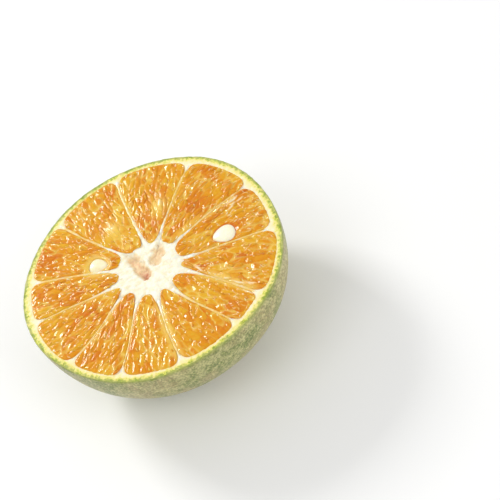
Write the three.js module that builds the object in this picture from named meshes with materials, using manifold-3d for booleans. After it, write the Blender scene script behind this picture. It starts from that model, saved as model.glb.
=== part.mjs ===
// Half of a green-skinned mandarin orange, cut across its middle and lying on its domed end, cut face up.
// Its pieces are the peel, twelve juice segments, the white core that they meet at, and four seeds.
// Millimetres, +Z up along the core. The origin is the middle of the small flat spot that it rests on.
import * as THREE from "three";
import { mergeVertices } from "three/addons/utils/BufferGeometryUtils.js";
import Module from "manifold-3d";

const wasm = await Module();
wasm.setup();

// Driving dimensions of the half
const cutHeight = 27; // cut face above the surface that the fruit rests on
const cutRadius = 35.4; // mean radius of the peel's edge on the cut face
const domePower = 2.3; // 2 makes the dome an ellipsoid, and more makes its shoulder squarer
const flatSink = 0.3; // how much of the dome's tip the flat spot takes away
const bottomPeel = 2.8; // thickness of the peel under the segments

// The edge isn't quite round: each wave adds its height at its crests, which are degrees from +X.
const outlineWaves = [
  { lobes: 1, height: 0.2, crest: 235 },
  { lobes: 2, height: 0.48, crest: 3 },
  { lobes: 3, height: 0.13, crest: 55 },
  { lobes: 4, height: 0.15, crest: 53 },
  { lobes: 5, height: 0.23, crest: 30 },
];

// Each segment starts at its septum, the wall that it shares with the segment before it. A septum bends:
// its three angles are at the core, half-way out and at the peel. The tip and wall are the segment's
// inner and outer radius on the cut face.
const segments = [
  { septum: [15.5, 14.2, 10.8], tip: 8.0, wall: 33.4 },
  { septum: [51.5, 49, 46.3], tip: 8.2, wall: 33.2 },
  { septum: [80.5, 84, 83], tip: 7.6, wall: 33.2 },
  { septum: [121, 119.8, 118], tip: 9.8, wall: 33.6 },
  { septum: [150.5, 150.5, 151.3], tip: 9.2, wall: 33.6 },
  { septum: [179, 175.5, 173.9], tip: 10.0, wall: 34.0 },
  { septum: [198, 205, 204.2], tip: 9.3, wall: 33.6 },
  { septum: [224, 230, 231], tip: 9.2, wall: 33.4 },
  { septum: [254, 256.5, 259.5], tip: 9.1, wall: 32.9 },
  { septum: [276, 285, 289], tip: 8.1, wall: 32.8 },
  { septum: [312, 308.5, 305.8], tip: 8.3, wall: 34.0 },
  { septum: [335, 340, 341], tip: 7.8, wall: 32.9 },
];
const septumGap = 0.6; // between two segments' flesh, where their skins meet
const clearance = 0.32; // round each segment, from the peel and the core
const wallCorner = 7; // power of the rounded corners by the peel, where a high one is tight
const tipCorner = 4; // power of the rounded corners by the core
const coreTaper = 0.55; // share of the core's radius that is gone at the dome's end
const crown = 0.45; // how far the flesh swells above the cut
const crownPower = 4; // how level the swelling is in its middle
const fleshEdge = 0.012; // depth, as a share, at which a segment's rounded upper edge ends
const pithRidge = 1.9; // how far the pith reaches in between two segments
const peelFloor = 0.96; // depth, as a share, of the peel's inner floor

// Seeds lie in the flesh with their pointed end at the core, and their backs just out of the cut face.
const seeds = [
  { at: [20.1, -3.8], sink: 1.2, length: 7.2, width: 6.0, thickness: 5.0, heading: 168, segment: 11 },
  { at: [-11.5, 9.8], sink: 1.5, length: 6.6, width: 5.3, thickness: 4.8, heading: -38, segment: 3 },
  { at: [-3.9, 16.9], sink: 1.8, length: 7.0, width: 5.0, thickness: 4.8, heading: -77, segment: 2 },
  { at: [9.6, 15.9], sink: 1.8, length: 7.0, width: 5.0, thickness: 4.8, heading: -118, segment: 1 },
];
const seedTaper = 0.28; // how much slimmer a seed is at its pointed end
const seedRoom = 0.3; // gap round a seed in its pocket

// The core's blank is cut to a star by the segments round it.
const armReach = 12.4; // radius that the star's arms reach on the cut face
const armReachBelow = 6.6; // the same at the core's lower end
const hollow = { depth: 1.3, rim: 5.4, floor: 2.8 }; // the core's sunken middle, with its two radii

// Fineness of the meshes
const domeColumns = 60;
const domeRows = 11;
const seedSteps = 8;
const seedSides = 12;
const headroom = 2; // how far a cutting solid stands out above the cut face
const segmentPoints = 20;
const segmentDepths = [0.2, 0.42, 0.62, 0.79, 0.91];
const crownRings = [0.35, 0.7, 0.92];

const degree = Math.PI / 180;
const fleshDepth = cutHeight - bottomPeel;

// Share of the width on the cut face that is left at a depth, which goes from 0 there to 1 at the dome's end.
const shareAt = (depth) => Math.pow(1 - Math.pow(depth, domePower), 1 / domePower);

// A cosine's or sine's power that keeps its sign, for an outline with rounded corners.
const signedPower = (value, power) => Math.sign(value) * Math.pow(Math.abs(value), power);

// A point at a polar angle, in degrees, a radius and a height.
const polar = (angle, radius, z) =>
  new THREE.Vector3(radius * Math.cos(angle * degree), radius * Math.sin(angle * degree), z);

// Radius of the peel's edge at an angle, with the waves fading towards the dome's end.
function outline(angle, depth) {
  const wave = ({ lobes, height, crest }) => height * Math.cos(lobes * (angle - crest) * degree);
  return cutRadius + outlineWaves.reduce((sum, each) => sum + wave(each), 0) * (1 - depth);
}

// A closed surface from rings, listed from the top down, each counterclockwise seen from above. Each ring
// is joined to the next, and the first and last to a point in their middle.
function ringSurface(rings, top, bottom) {
  const count = rings[0].length;
  const points = [top, ...rings.flat(), bottom].flatMap((point) => point.toArray());
  const last = 1 + rings.length * count;
  const at = (ring, k) => 1 + ring * count + (k % count);
  const faces = [];
  for (let k = 0; k < count; k++) {
    faces.push(0, at(0, k), at(0, k + 1));
    for (let ring = 0; ring + 1 < rings.length; ring++) {
      faces.push(at(ring, k), at(ring + 1, k), at(ring + 1, k + 1));
      faces.push(at(ring, k), at(ring + 1, k + 1), at(ring, k + 1));
    }
    faces.push(last, at(rings.length - 1, k + 1), at(rings.length - 1, k));
  }
  const geometry = new THREE.BufferGeometry();
  geometry.setAttribute("position", new THREE.Float32BufferAttribute(points, 3));
  return geometry.setIndex(faces);
}

// A ring round the core's axis, of a radius that may change with the angle.
function roundRing(columns, radiusAt, z) {
  return Array.from({ length: columns }, (_, k) => {
    const angle = (360 * k) / columns;
    return polar(angle, radiusAt(angle), z);
  });
}

// A closed geometry as a solid that can be joined and cut.
function solid(geometry) {
  const bare = new THREE.BufferGeometry();
  bare.setAttribute("position", geometry.getAttribute("position"));
  bare.setIndex(geometry.getIndex());
  const merged = mergeVertices(bare, 1e-4);
  return new wasm.Manifold(
    new wasm.Mesh({
      numProp: 3,
      vertProperties: merged.getAttribute("position").array,
      triVerts: new Uint32Array(merged.getIndex().array),
    }),
  );
}

// A cut solid as a geometry again.
function geometryOf(body) {
  const mesh = body.getMesh();
  const geometry = new THREE.BufferGeometry();
  geometry.setAttribute("position", new THREE.BufferAttribute(mesh.vertProperties, 3));
  geometry.setIndex(new THREE.BufferAttribute(mesh.triVerts, 1));
  return geometry;
}

// Angle of a septum at a share of the way out, on the curve through its three angles.
function septumAngle([core, middle, wall], share) {
  return (
    core * (1 - share) * (1 - 2 * share) + middle * 4 * share * (1 - share) + wall * share * (2 * share - 1)
  );
}

// The septum on a segment's far side, which is the start of the segment after it.
function farSeptum(index) {
  const { septum } = segments[(index + 1) % segments.length];
  return index + 1 < segments.length ? septum : septum.map((angle) => angle + 360);
}

// A point of a segment: across runs from -1 at its own septum to 1 at the next one, and out from 0 at
// its tip to 1 at the peel. A segment can be grown on all sides.
function segmentPoint(index, across, out, depth, grow, z) {
  const { septum, tip, wall } = segments[index];
  const inner = tip * (1 - coreTaper * depth) - grow;
  const outer = wall * shareAt(depth) + grow;
  const radius = inner + out * (outer - inner);
  const side = (septumGap / 2 - grow) / radius / degree;
  const low = septumAngle(septum, out) + side;
  const high = septumAngle(farSeptum(index), out) - side;
  return polar((low + high) / 2 + (across * (high - low)) / 2, radius, z);
}

// A segment's outline at a depth, with rounded corners, drawn in towards its middle by a share.
function segmentRing(index, depth, grow, z, share = 1) {
  return Array.from({ length: segmentPoints }, (_, k) => {
    const turn = (360 * degree * k) / segmentPoints;
    const power = 2 / (Math.sin(turn) > 0 ? wallCorner : tipCorner);
    const across = -signedPower(Math.cos(turn), power) * share;
    const out = 0.5 + 0.5 * signedPower(Math.sin(turn), power) * share;
    return segmentPoint(index, across, out, depth, grow, z);
  });
}

// The flesh of a segment, with its swollen top.
function fleshSolid(index) {
  const swell = (share) => cutHeight + crown * (1 - share ** crownPower);
  const cap = crownRings.map((share) => segmentRing(index, 0, 0, swell(share), share));
  const sides = [fleshEdge, ...segmentDepths].map((depth) =>
    segmentRing(index, depth, 0, cutHeight - depth * fleshDepth),
  );
  const lowest = segmentDepths.at(-1);
  return solid(
    ringSurface(
      [...cap, ...sides],
      segmentPoint(index, 0, 0.5, 0, 0, swell(0)),
      segmentPoint(index, 0, 0.5, lowest, 0, cutHeight - lowest * fleshDepth),
    ),
  );
}

// The room that a segment takes up in the peel and round the core, open at the top.
function segmentRoom(index) {
  const above = cutHeight + headroom;
  const lowest = segmentDepths.at(-1);
  const floor = cutHeight - lowest * fleshDepth - clearance;
  const sides = [fleshEdge, ...segmentDepths.slice(0, -1)];
  const rings = [
    segmentRing(index, 0, clearance, above),
    ...sides.map((depth) => segmentRing(index, depth, clearance, cutHeight - depth * fleshDepth)),
    segmentRing(index, lowest, clearance, floor),
  ];
  return solid(
    ringSurface(
      rings,
      segmentPoint(index, 0, 0.5, 0, clearance, above),
      segmentPoint(index, 0, 0.5, lowest, clearance, floor),
    ),
  );
}

// The whole half's outer form, closed across the cut face and flat where it rests.
function domeBlank() {
  const lastDepth = cutHeight / (cutHeight + flatSink);
  const lastTurn = Math.asin(Math.pow(lastDepth, domePower / 2));
  const rings = Array.from({ length: domeRows + 1 }, (_, row) => {
    const depth = Math.pow(Math.sin((lastTurn * row) / domeRows), 2 / domePower);
    const z = row < domeRows ? cutHeight - depth * (cutHeight + flatSink) : 0;
    return roundRing(domeColumns, (angle) => outline(angle, depth) * shareAt(depth), z);
  });
  return solid(ringSurface(rings, new THREE.Vector3(0, 0, cutHeight), new THREE.Vector3()));
}

// The open middle of the peel, inside the ridges of pith that reach in between the segments.
function drum() {
  const ridgeTip = Math.min(...segments.map((segment) => segment.wall)) - pithRidge;
  const above = cutHeight + headroom;
  const depths = [fleshEdge, ...segmentDepths, peelFloor];
  const ring = (depth, z) => roundRing(domeColumns, () => ridgeTip * shareAt(depth), z);
  const floor = cutHeight - peelFloor * fleshDepth;
  return solid(
    ringSurface(
      [ring(0, above), ...depths.map((depth) => ring(depth, cutHeight - depth * fleshDepth))],
      new THREE.Vector3(0, 0, above),
      new THREE.Vector3(0, 0, floor),
    ),
  );
}

// The core before the segments cut it to a star: a tapered plug with a sunken middle.
function coreBlank() {
  const floor = cutHeight - segmentDepths.at(-1) * fleshDepth - clearance;
  const profile = [
    new THREE.Vector2(0, floor),
    new THREE.Vector2(armReachBelow, floor),
    new THREE.Vector2(armReach, cutHeight),
    new THREE.Vector2(hollow.rim, cutHeight),
    new THREE.Vector2(hollow.floor, cutHeight - hollow.depth),
    new THREE.Vector2(0, cutHeight - hollow.depth),
  ];
  return solid(new THREE.LatheGeometry(profile, domeColumns).rotateX(90 * degree));
}

// A seed is an egg with a pointed end, which can be grown on all sides for its pocket.
function seedSolid({ at, sink, length, width, thickness, heading }, grow = 0) {
  const profile = Array.from({ length: seedSteps + 1 }, (_, k) => {
    const turn = (180 * degree * k) / seedSteps;
    const along = -Math.cos(turn);
    const radius = k % seedSteps === 0 ? 0 : Math.sin(turn) * (1 - seedTaper * along);
    return new THREE.Vector2(radius, along);
  });
  const egg = new THREE.LatheGeometry(profile, seedSides)
    .rotateZ(-90 * degree)
    .scale(length / 2 + grow, width / 2 + grow, thickness / 2 + grow)
    .rotateZ(heading * degree)
    .translate(at[0], at[1], cutHeight - sink);
  return solid(egg);
}

const looks = {
  peel: new THREE.MeshStandardMaterial({ color: 0x7c9440, roughness: 0.42, metalness: 0 }),
  flesh: new THREE.MeshStandardMaterial({ color: 0xe58a24, roughness: 0.25, metalness: 0 }),
  pith: new THREE.MeshStandardMaterial({ color: 0xfbf6e2, roughness: 0.8, metalness: 0 }),
  seed: new THREE.MeshStandardMaterial({ color: 0xf7f0cf, roughness: 0.45, metalness: 0 }),
};

const mandarin = new THREE.Group();

// One named piece of the fruit.
function add(name, body, material) {
  const mesh = new THREE.Mesh(geometryOf(body), material);
  mesh.name = name;
  mandarin.add(mesh);
}

const rooms = segments.map((_, index) => segmentRoom(index));
add("peel", rooms.reduce((rest, room) => rest.subtract(room), domeBlank().subtract(drum())), looks.peel);
add("core", rooms.reduce((rest, room) => rest.subtract(room), coreBlank()), looks.pith);
segments.forEach((_, index) => {
  const pockets = seeds.filter((seed) => seed.segment === index);
  const flesh = pockets.reduce((rest, seed) => rest.subtract(seedSolid(seed, seedRoom)), fleshSolid(index));
  add("segment_" + String(index + 1).padStart(2, "0"), flesh, looks.flesh);
});
seeds.forEach((seed, index) => add("seed_" + (index + 1), seedSolid(seed), looks.seed));

export default mandarin;
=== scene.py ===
"""Looks of half a green-skinned mandarin orange, cut across and lying on its domed end.

Lengths are in millimetres up to the point where a mesh is made, and angles in degrees. The cut face
is level, +Z points out of it along the core, and the origin is the middle of the small flat spot.
"""
import logging
import math
from dataclasses import dataclass, field
from enum import Enum

import bpy
import numpy as np
from mathutils import Matrix, Vector
from mathutils.geometry import delaunay_2d_cdt


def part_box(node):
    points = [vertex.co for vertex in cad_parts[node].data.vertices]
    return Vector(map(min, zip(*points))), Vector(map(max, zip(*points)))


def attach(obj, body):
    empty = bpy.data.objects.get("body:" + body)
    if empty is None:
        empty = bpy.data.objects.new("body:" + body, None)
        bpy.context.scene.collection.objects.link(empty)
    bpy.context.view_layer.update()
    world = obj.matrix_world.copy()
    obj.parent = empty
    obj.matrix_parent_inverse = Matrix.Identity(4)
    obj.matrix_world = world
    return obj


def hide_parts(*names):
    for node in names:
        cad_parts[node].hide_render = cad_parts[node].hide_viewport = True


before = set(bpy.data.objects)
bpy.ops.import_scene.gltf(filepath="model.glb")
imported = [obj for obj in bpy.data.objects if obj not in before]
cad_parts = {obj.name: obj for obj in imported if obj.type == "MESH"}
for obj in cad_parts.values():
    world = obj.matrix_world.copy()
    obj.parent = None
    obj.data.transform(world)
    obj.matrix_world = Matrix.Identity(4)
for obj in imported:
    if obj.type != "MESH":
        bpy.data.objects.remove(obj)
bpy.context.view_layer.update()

BODY = "root"
MM = 0.001
DEGREE = math.pi / 180
GOLDEN_ANGLE = 180 * (3 - math.sqrt(5))
# Large primes that scatter the cells of the noise, and the shifts that stir them
CELL_PRIMES = np.array([73856093, 19349663, 83492791])
SEED_PRIME = 668265263
STIRS = ((15, 2246822), (13, 3266489))
LAST_STIR = 16
KEPT_BITS = 0x7FFFFFFF
USED_BITS = 0xFFFFFF
# Moves each layer of noise aside, so that the layers' cells don't share their borders
LAYER_SHIFT = 3.77
LOG = logging.getLogger("mandarin")

Array = np.ndarray
Colour = tuple[float, float, float]
Span = tuple[float, float]
Piece = bpy.types.Object
Material = bpy.types.Material
Socket = bpy.types.NodeSocket
Random = np.random.Generator


class Slot(Enum):
    """The material slots of the record that a piece can take its finish from."""

    PEEL = "peel"
    FLESH = "flesh"
    PITH = "pith"
    SEED = "seed"


def srgb(red: int, green: int, blue: int) -> Colour:
    """Turns a screen colour of three numbers up to 255 into linear light.

    Args:
        red: The red part.
        green: The green part.
        blue: The blue part.

    Returns:
        The three parts in linear light, from 0 to 1.
    """
    parts = [part / 255 for part in (red, green, blue)]
    return tuple(part / 12.92 if part <= 0.04045 else ((part + 0.055) / 1.055) ** 2.4 for part in parts)


def cell_random(cells: Array, seed: int) -> Array:
    """Gives each whole-number cell a fixed random number.

    Args:
        cells: Whole numbers, with three in the last direction.
        seed: Tells one set of numbers from another.

    Returns:
        Numbers from 0 to 1, one for each cell.
    """
    mixed = np.bitwise_xor.reduce(cells * CELL_PRIMES, axis=-1)
    mixed = (mixed ^ (seed * SEED_PRIME)) & KEPT_BITS
    for shift, prime in STIRS:
        mixed = ((mixed ^ (mixed >> shift)) * prime) & KEPT_BITS
    return ((mixed ^ (mixed >> LAST_STIR)) & USED_BITS) / USED_BITS


def smooth_noise(points: Array, spacing: float, seed: int) -> Array:
    """Soft humps and hollows in space.

    Args:
        points: Points, three numbers each.
        spacing: Distance from hump to hump.
        seed: Tells one pattern from another.

    Returns:
        A number from -1 to 1 for each point.
    """
    scaled = points / spacing
    cell = np.floor(scaled).astype(np.int64)
    part = scaled - cell
    part = part * part * (3 - 2 * part)
    total = np.zeros(len(points))
    for corner in np.ndindex(2, 2, 2):
        weight = np.prod(np.where(np.array(corner), part, 1 - part), axis=1)
        total += weight * cell_random(cell + np.array(corner), seed)
    return 2 * total - 1


@dataclass(frozen=True)
class Humps:
    """Unevenness: its spacing, its height, which pattern it follows, and how many finer layers it adds up."""

    spacing: float
    height: float
    seed: int
    layers: int = 3

    def at(self, points: Array) -> Array:
        """Gives the unevenness at points, from about minus to plus the height.

        Args:
            points: Points, three numbers each.

        Returns:
            A number for each point. Each layer has half the spacing and height of the one before.
        """
        shares = [1 / 2**k for k in range(self.layers)]
        total = sum(
            share * smooth_noise(points + LAYER_SHIFT * k, self.spacing * share, self.seed + k)
            for k, share in enumerate(shares)
        )
        return self.height * total / sum(shares)


def smooth_step(low: float, high: float, value: Array) -> Array:
    """Rises smoothly from 0 at low to 1 at high."""
    share = np.clip((value - low) / (high - low), 0, 1)
    return share * share * (3 - 2 * share)


def bell(value: Array, width: float) -> Array:
    """Falls smoothly from 1 at zero to almost nothing at twice a width."""
    return np.exp(-((value / width) ** 2))


def highest(*parts: Array) -> Array:
    """Gives the highest of several numbers at each point."""
    return np.maximum.reduce(parts)


def turned_back(x: Array, y: Array, turn: float) -> tuple[Array, Array]:
    """Gives distances along and across a line that is turned by an angle."""
    cosine, sine = math.cos(turn * DEGREE), math.sin(turn * DEGREE)
    return x * cosine + y * sine, y * cosine - x * sine


def once_round(count: int) -> Array:
    """Lists evenly spaced angles, once round."""
    return np.arange(count) * 360 / count


@dataclass(frozen=True)
class Wave:
    """One wave of the cut edge's outline: crests, their height, and where one of them is."""

    lobes: int
    height: float
    crest: float


@dataclass(frozen=True)
class SegmentPlan:
    """Where one segment lies: the bend of its first wall, and its inner and outer radius.

    The wall's three angles are at the core, half-way out and at the peel. The tip's corners are
    rounded by a power, where a high one is tight.
    """

    septum: tuple[float, float, float]
    tip: float
    wall: float
    tip_corner: float = 2.7


@dataclass(frozen=True)
class FruitPlan:
    """The fruit's form, which follows that of the solids."""

    cut_height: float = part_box("peel")[1].z / MM
    cut_radius: float = 35.4
    dome_power: float = 2.3
    flat_sink: float = 0.3
    bottom_peel: float = 2.8
    septum_gap: float = 0.36
    wall_corner: float = 7
    core_taper: float = 0.55
    lowest: float = 0.91
    waves: tuple[Wave, ...] = (
        Wave(1, 0.2, 235),
        Wave(2, 0.48, 3),
        Wave(3, 0.13, 55),
        Wave(4, 0.15, 53),
        Wave(5, 0.23, 30),
    )
    segments: tuple[SegmentPlan, ...] = (
        SegmentPlan((15.5, 14.2, 10.8), 7.5, 33.4, 4.2),
        SegmentPlan((51.5, 49, 46.3), 7.5, 33.2, 3.8),
        SegmentPlan((80.5, 84, 83), 7.6, 33.2, 5),
        SegmentPlan((121, 119.8, 118), 9.4, 33.6, 4.6),
        SegmentPlan((150.5, 150.5, 151.3), 9.2, 33.6),
        SegmentPlan((179, 175.5, 173.9), 10.0, 34.0),
        SegmentPlan((198, 205, 204.2), 9.3, 33.6),
        SegmentPlan((224, 230, 231), 9.2, 33.4),
        SegmentPlan((254, 256.5, 259.5), 9.1, 32.9),
        SegmentPlan((276, 285, 289), 8.1, 32.8),
        SegmentPlan((312, 308.5, 305.8), 8.3, 34.0),
        SegmentPlan((335, 340, 341), 7.3, 32.9, 4),
    )

    def share_at(self, depth: Array | float) -> Array | float:
        """Share of the cut face's width that is left at a depth, which is 1 at the dome's end."""
        return np.power(1 - np.power(depth, self.dome_power), 1 / self.dome_power)

    def height_at(self, depth: float) -> float:
        """Height above the flat spot at a depth under the cut, as a share of the way to the peel's floor."""
        return self.cut_height - depth * (self.cut_height - self.bottom_peel)

    def outline(self, angle: Array, depth: Array | float) -> Array:
        """Gives the radius of the peel's edge, before the dome narrows it.

        Args:
            angle: Angles round the core.
            depth: Depth as a share, which fades the waves.

        Returns:
            A radius for each angle.
        """
        waves = sum(w.height * np.cos(w.lobes * (angle - w.crest) * DEGREE) for w in self.waves)
        return self.cut_radius + waves * (1 - depth)

    def septum_angle(self, index: int, out: Array) -> Array:
        """Gives the angle of the wall between two segments.

        Args:
            index: The segment that starts at the wall.
            out: Share of the way from the segment's tip to the peel.

        Returns:
            An angle for each share, which keeps rising past 360.
        """
        turns, index = divmod(index, len(self.segments))
        core, middle, wall = self.segments[index].septum
        bend = core * (1 - out) * (1 - 2 * out) + middle * 4 * out * (1 - out) + wall * out * (2 * out - 1)
        return bend + 360 * turns

    def sides(self, index: int, out: Array, radius: Array) -> tuple[Array, Array]:
        """Gives the angles at which a segment starts and ends, half a gap away from the walls' middles.

        Args:
            index: The segment.
            out: Share of the way from its tip to the peel.
            radius: Radius at each share.

        Returns:
            The first and the last angle at each share.
        """
        gap = self.septum_gap / 2 / radius / DEGREE
        return self.septum_angle(index, out) + gap, self.septum_angle(index + 1, out) - gap

    def radii(self, index: int, depth: Array | float) -> tuple[Array | float, Array | float]:
        """Gives a segment's inner and outer radius at a depth."""
        segment = self.segments[index % len(self.segments)]
        return segment.tip * (1 - self.core_taper * depth), segment.wall * self.share_at(depth)

    def place(
        self, index: int, across: Array, out: Array, depth: Array | float
    ) -> tuple[Array, Array, Array]:
        """Finds points of a segment.

        Args:
            index: The segment.
            across: -1 at its first wall and 1 at its second one.
            out: 0 at its tip and 1 at the peel.
            depth: Depth as a share.

        Returns:
            The angle, the radius, and half the segment's width there.
        """
        inner, outer = self.radii(index, depth)
        radius = inner + out * (outer - inner)
        low, high = self.sides(index, out, radius)
        return (low + high) / 2 + across * (high - low) / 2, radius, (high - low) / 2 * DEGREE * radius

    def half_width(self, index: int, radius: float) -> float:
        """Gives half a segment's width at a radius of the cut face.

        Args:
            index: The segment.
            radius: Distance from the core's axis.

        Returns:
            Half the width there.
        """
        inner, outer = self.radii(index, 0)
        out = np.clip((radius - inner) / (outer - inner), 0, 1)
        return float(self.place(index, np.array(0.0), out, 0)[2])

    def corner_power(self, index: int, out: Array) -> Array:
        """Power of a segment's rounded corners, tight by the peel and soft by the core."""
        return np.where(out > 0.5, self.wall_corner, self.segments[index].tip_corner)

    def side_gap(self, index: int, out: Array) -> Array:
        """Gives the distance from a wall's middle to a segment's flesh, wider at its rounded corners.

        Args:
            index: The segment.
            out: Share of the way from its tip to the peel.

        Returns:
            The distance at each share.
        """
        held = np.clip(out, 0.01, 0.99)
        power = self.corner_power(index, held)
        limit = (1 - np.abs(2 * held - 1) ** power) ** (1 / power)
        return self.septum_gap / 2 + (1 - limit) * self.place(index, 0 * held, held, 0)[2]

    def inside(self, angle: Array, radius: Array) -> Array:
        """Tells which points of the cut face lie in a segment.

        Args:
            angle: Angles round the core, in a column.
            radius: Distances from the core's axis, in a row.

        Returns:
            True for each angle and radius that is in a segment.
        """
        found = np.zeros((angle.size, radius.size), bool)
        for index in range(len(self.segments)):
            inner, outer = self.radii(index, 0)
            out = (radius - inner) / (outer - inner)
            low, high = self.sides(index, out, radius)
            across = (2 * ((angle - low) % 360 + low) - low - high) / (high - low)
            power = self.corner_power(index, out)
            within = np.abs(across) ** power + np.abs(2 * out - 1) ** power < 1
            found |= within & (out > 0) & (out < 1)
        return found


def polar_points(angle: Array, radius: Array, height: Array | float) -> Array:
    """Turns angles, radii and heights into points."""
    turn, away, up = (np.ravel(part) for part in np.broadcast_arrays(angle, radius, height))
    return np.stack([away * np.cos(turn * DEGREE), away * np.sin(turn * DEGREE), up], 1)


def grid_faces(rows: int, columns: int, start: int = 0, closed: bool = False) -> Array:
    """Lists the quads of a grid of points.

    Args:
        rows: How many rows of points there are.
        columns: How many points a row has.
        start: Number of the grid's first point.
        closed: Whether each row's last point joins its first one.

    Returns:
        Four point numbers for each quad.
    """
    row = np.arange(rows - 1)[:, None] * columns
    column = np.arange(columns if closed else columns - 1)[None, :]
    after = (column + 1) % columns
    quads = [row + column, row + after, row + columns + after, row + columns + column]
    return np.stack([np.ravel(quad) for quad in quads], 1) + start


def fan_faces(ring: Array, centre: int) -> Array:
    """Lists the triangles that close a ring of points with one point in its middle."""
    return np.stack([ring, np.roll(ring, -1), np.full(len(ring), centre)], 1)


def grid_border(rows: int, columns: int) -> Array:
    """Lists the points round the edge of a grid, once round."""
    numbers = np.arange(rows * columns).reshape(rows, columns)
    return np.concatenate([numbers[0], numbers[1:-1, -1], numbers[-1, ::-1], numbers[-2:0:-1, 0]])


def hang_rings(top: Array, loop: Array, rings: list[Array], end: Array) -> tuple[Array, Array, Array]:
    """Hangs rings of points under the edge of a surface, and closes the last one.

    Args:
        top: The surface's points.
        loop: Numbers of the points on its edge.
        rings: Rings with as many points as the edge has, from the top down.
        end: The one point that closes the last ring.

    Returns:
        All the points, the quads between the rings, and the triangles that close the last one.
    """
    count = len(loop)
    start = len(top)
    points = np.concatenate([top, *rings, end])
    below = start + np.arange(count)
    skirt = np.stack([loop, np.roll(loop, -1), np.roll(below, -1), below], 1)
    quads = np.concatenate([skirt, grid_faces(len(rings), count, start, closed=True)])
    return points, quads, fan_faces(below + (len(rings) - 1) * count, len(points) - 1)


def triangles_of(way: Array, angle: Array) -> Array:
    """Joins points of the dome to triangles that are as even as they can be, with the dome laid out flat.

    Args:
        way: How far along the dome each point is from its middle.
        angle: Its angle round the core.

    Returns:
        Three point numbers for each triangle.
    """
    flat = polar_points(angle, way, 0.0)[:, :2]
    made = delaunay_2d_cdt([Vector(point) for point in flat.tolist()], [], [], 0, 1e-7, True)
    given = np.array([numbers[0] for numbers in made[3]])
    return given[np.array(made[2])]


def make_mesh(name: str, points: Array, faces: list[Array], marks: dict[str, Array]) -> bpy.types.Mesh:
    """Makes a mesh.

    Args:
        name: The mesh's name.
        points: Points in millimetres.
        faces: Arrays of triangles and of quads.
        marks: Numbers for each point, which a material or a node tree reads by name.

    Returns:
        The new mesh, in metres.
    """
    mesh = bpy.data.meshes.new(name)
    mesh.from_pydata((points * MM).tolist(), [], [face for group in faces for face in group.tolist()])
    for mark, values in marks.items():
        mesh.attributes.new(mark, "FLOAT", "POINT").data.foreach_set("value", values.astype(np.float32))
    return mesh


def stand(name: str, data: bpy.types.ID) -> Piece:
    """Puts a mesh, a light or a camera into the scene.

    Args:
        name: The object's name.
        data: What it shows.

    Returns:
        The new object.
    """
    thing = bpy.data.objects.new(name, data)
    bpy.context.scene.collection.objects.link(thing)
    return thing


def make_piece(
    name: str, points: Array, faces: list[Array], marks: dict[str, Array], material: Material
) -> Piece:
    """Makes one closed piece whose faces point outwards.

    Args:
        name: The piece's name.
        points: Points in millimetres.
        faces: Arrays of triangles and of quads, which all point in or all point out.
        marks: Numbers for each point, which the material reads by name.
        material: The finish.

    Returns:
        The new object.
    """
    volume = 0.0
    for group in faces:
        for k in range(1, group.shape[1] - 1):
            a, b, c = points[group[:, 0]], points[group[:, k]], points[group[:, k + 1]]
            volume += float(np.einsum("ij,ij->", a, np.cross(b, c)))
    if volume < 0:
        faces = [group[:, ::-1] for group in faces]
    mesh = make_mesh(name, points, faces, marks)
    mesh.shade_smooth()
    mesh.materials.append(material)
    return stand(name, mesh)


def settle(piece: Piece, slot: Slot, *nodes: str) -> None:
    """Ties a finished piece to the body, and hides the solids that it stands for.

    Args:
        piece: The finished piece.
        slot: Where its finish belongs. Not used.
        *nodes: The solids that it takes the place of.
    """
    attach(piece, BODY)
    if nodes:
        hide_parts(*nodes)
    LOG.info("%s: %d faces, replaces %s", piece.name, len(piece.data.polygons), ", ".join(nodes) or "nothing")


class NodeSheet:
    """A node tree that is written as a list of calls."""

    def __init__(self, tree: bpy.types.NodeTree) -> None:
        """Keeps the tree."""
        self.tree = tree

    def add(self, kind: str, inputs: dict | None = None, **settings: object) -> bpy.types.Node:
        """Adds a node.

        Args:
            kind: The node's type.
            inputs: Numbers, colours or other nodes' sockets, by the input's name or place.
            **settings: The node's own settings.

        Returns:
            The new node.
        """
        node = self.tree.nodes.new(kind)
        for name, value in settings.items():
            setattr(node, name, value)
        for key, value in (inputs or {}).items():
            if isinstance(value, Socket):
                self.tree.links.new(value, node.inputs[key])
            else:
                node.inputs[key].default_value = value
        return node

    def sums(self, operation: str, *parts: Socket | float) -> Socket:
        """Works out a sum of numbers."""
        return self.add("ShaderNodeMath", dict(enumerate(parts)), operation=operation).outputs[0]

    def ways(self, operation: str, *parts: Socket | Colour) -> Socket:
        """Works out a sum of places or directions."""
        return self.add("ShaderNodeVectorMath", dict(enumerate(parts)), operation=operation).outputs[0]

    def joined(self, *parts: Socket | float) -> Socket:
        """Joins numbers along X, Y and Z to one place or size."""
        return self.add("ShaderNodeCombineXYZ", dict(enumerate(parts))).outputs[0]


@dataclass(frozen=True)
class Speckle:
    """Flecks of one colour, where noise is above a level.

    Their spacing is in millimetres. They start at one level of the noise and are full at another,
    and a full one covers the ground by their strength.
    """

    spacing: float
    detail: float
    start: float
    full: float
    strength: float
    colour: Colour


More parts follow.
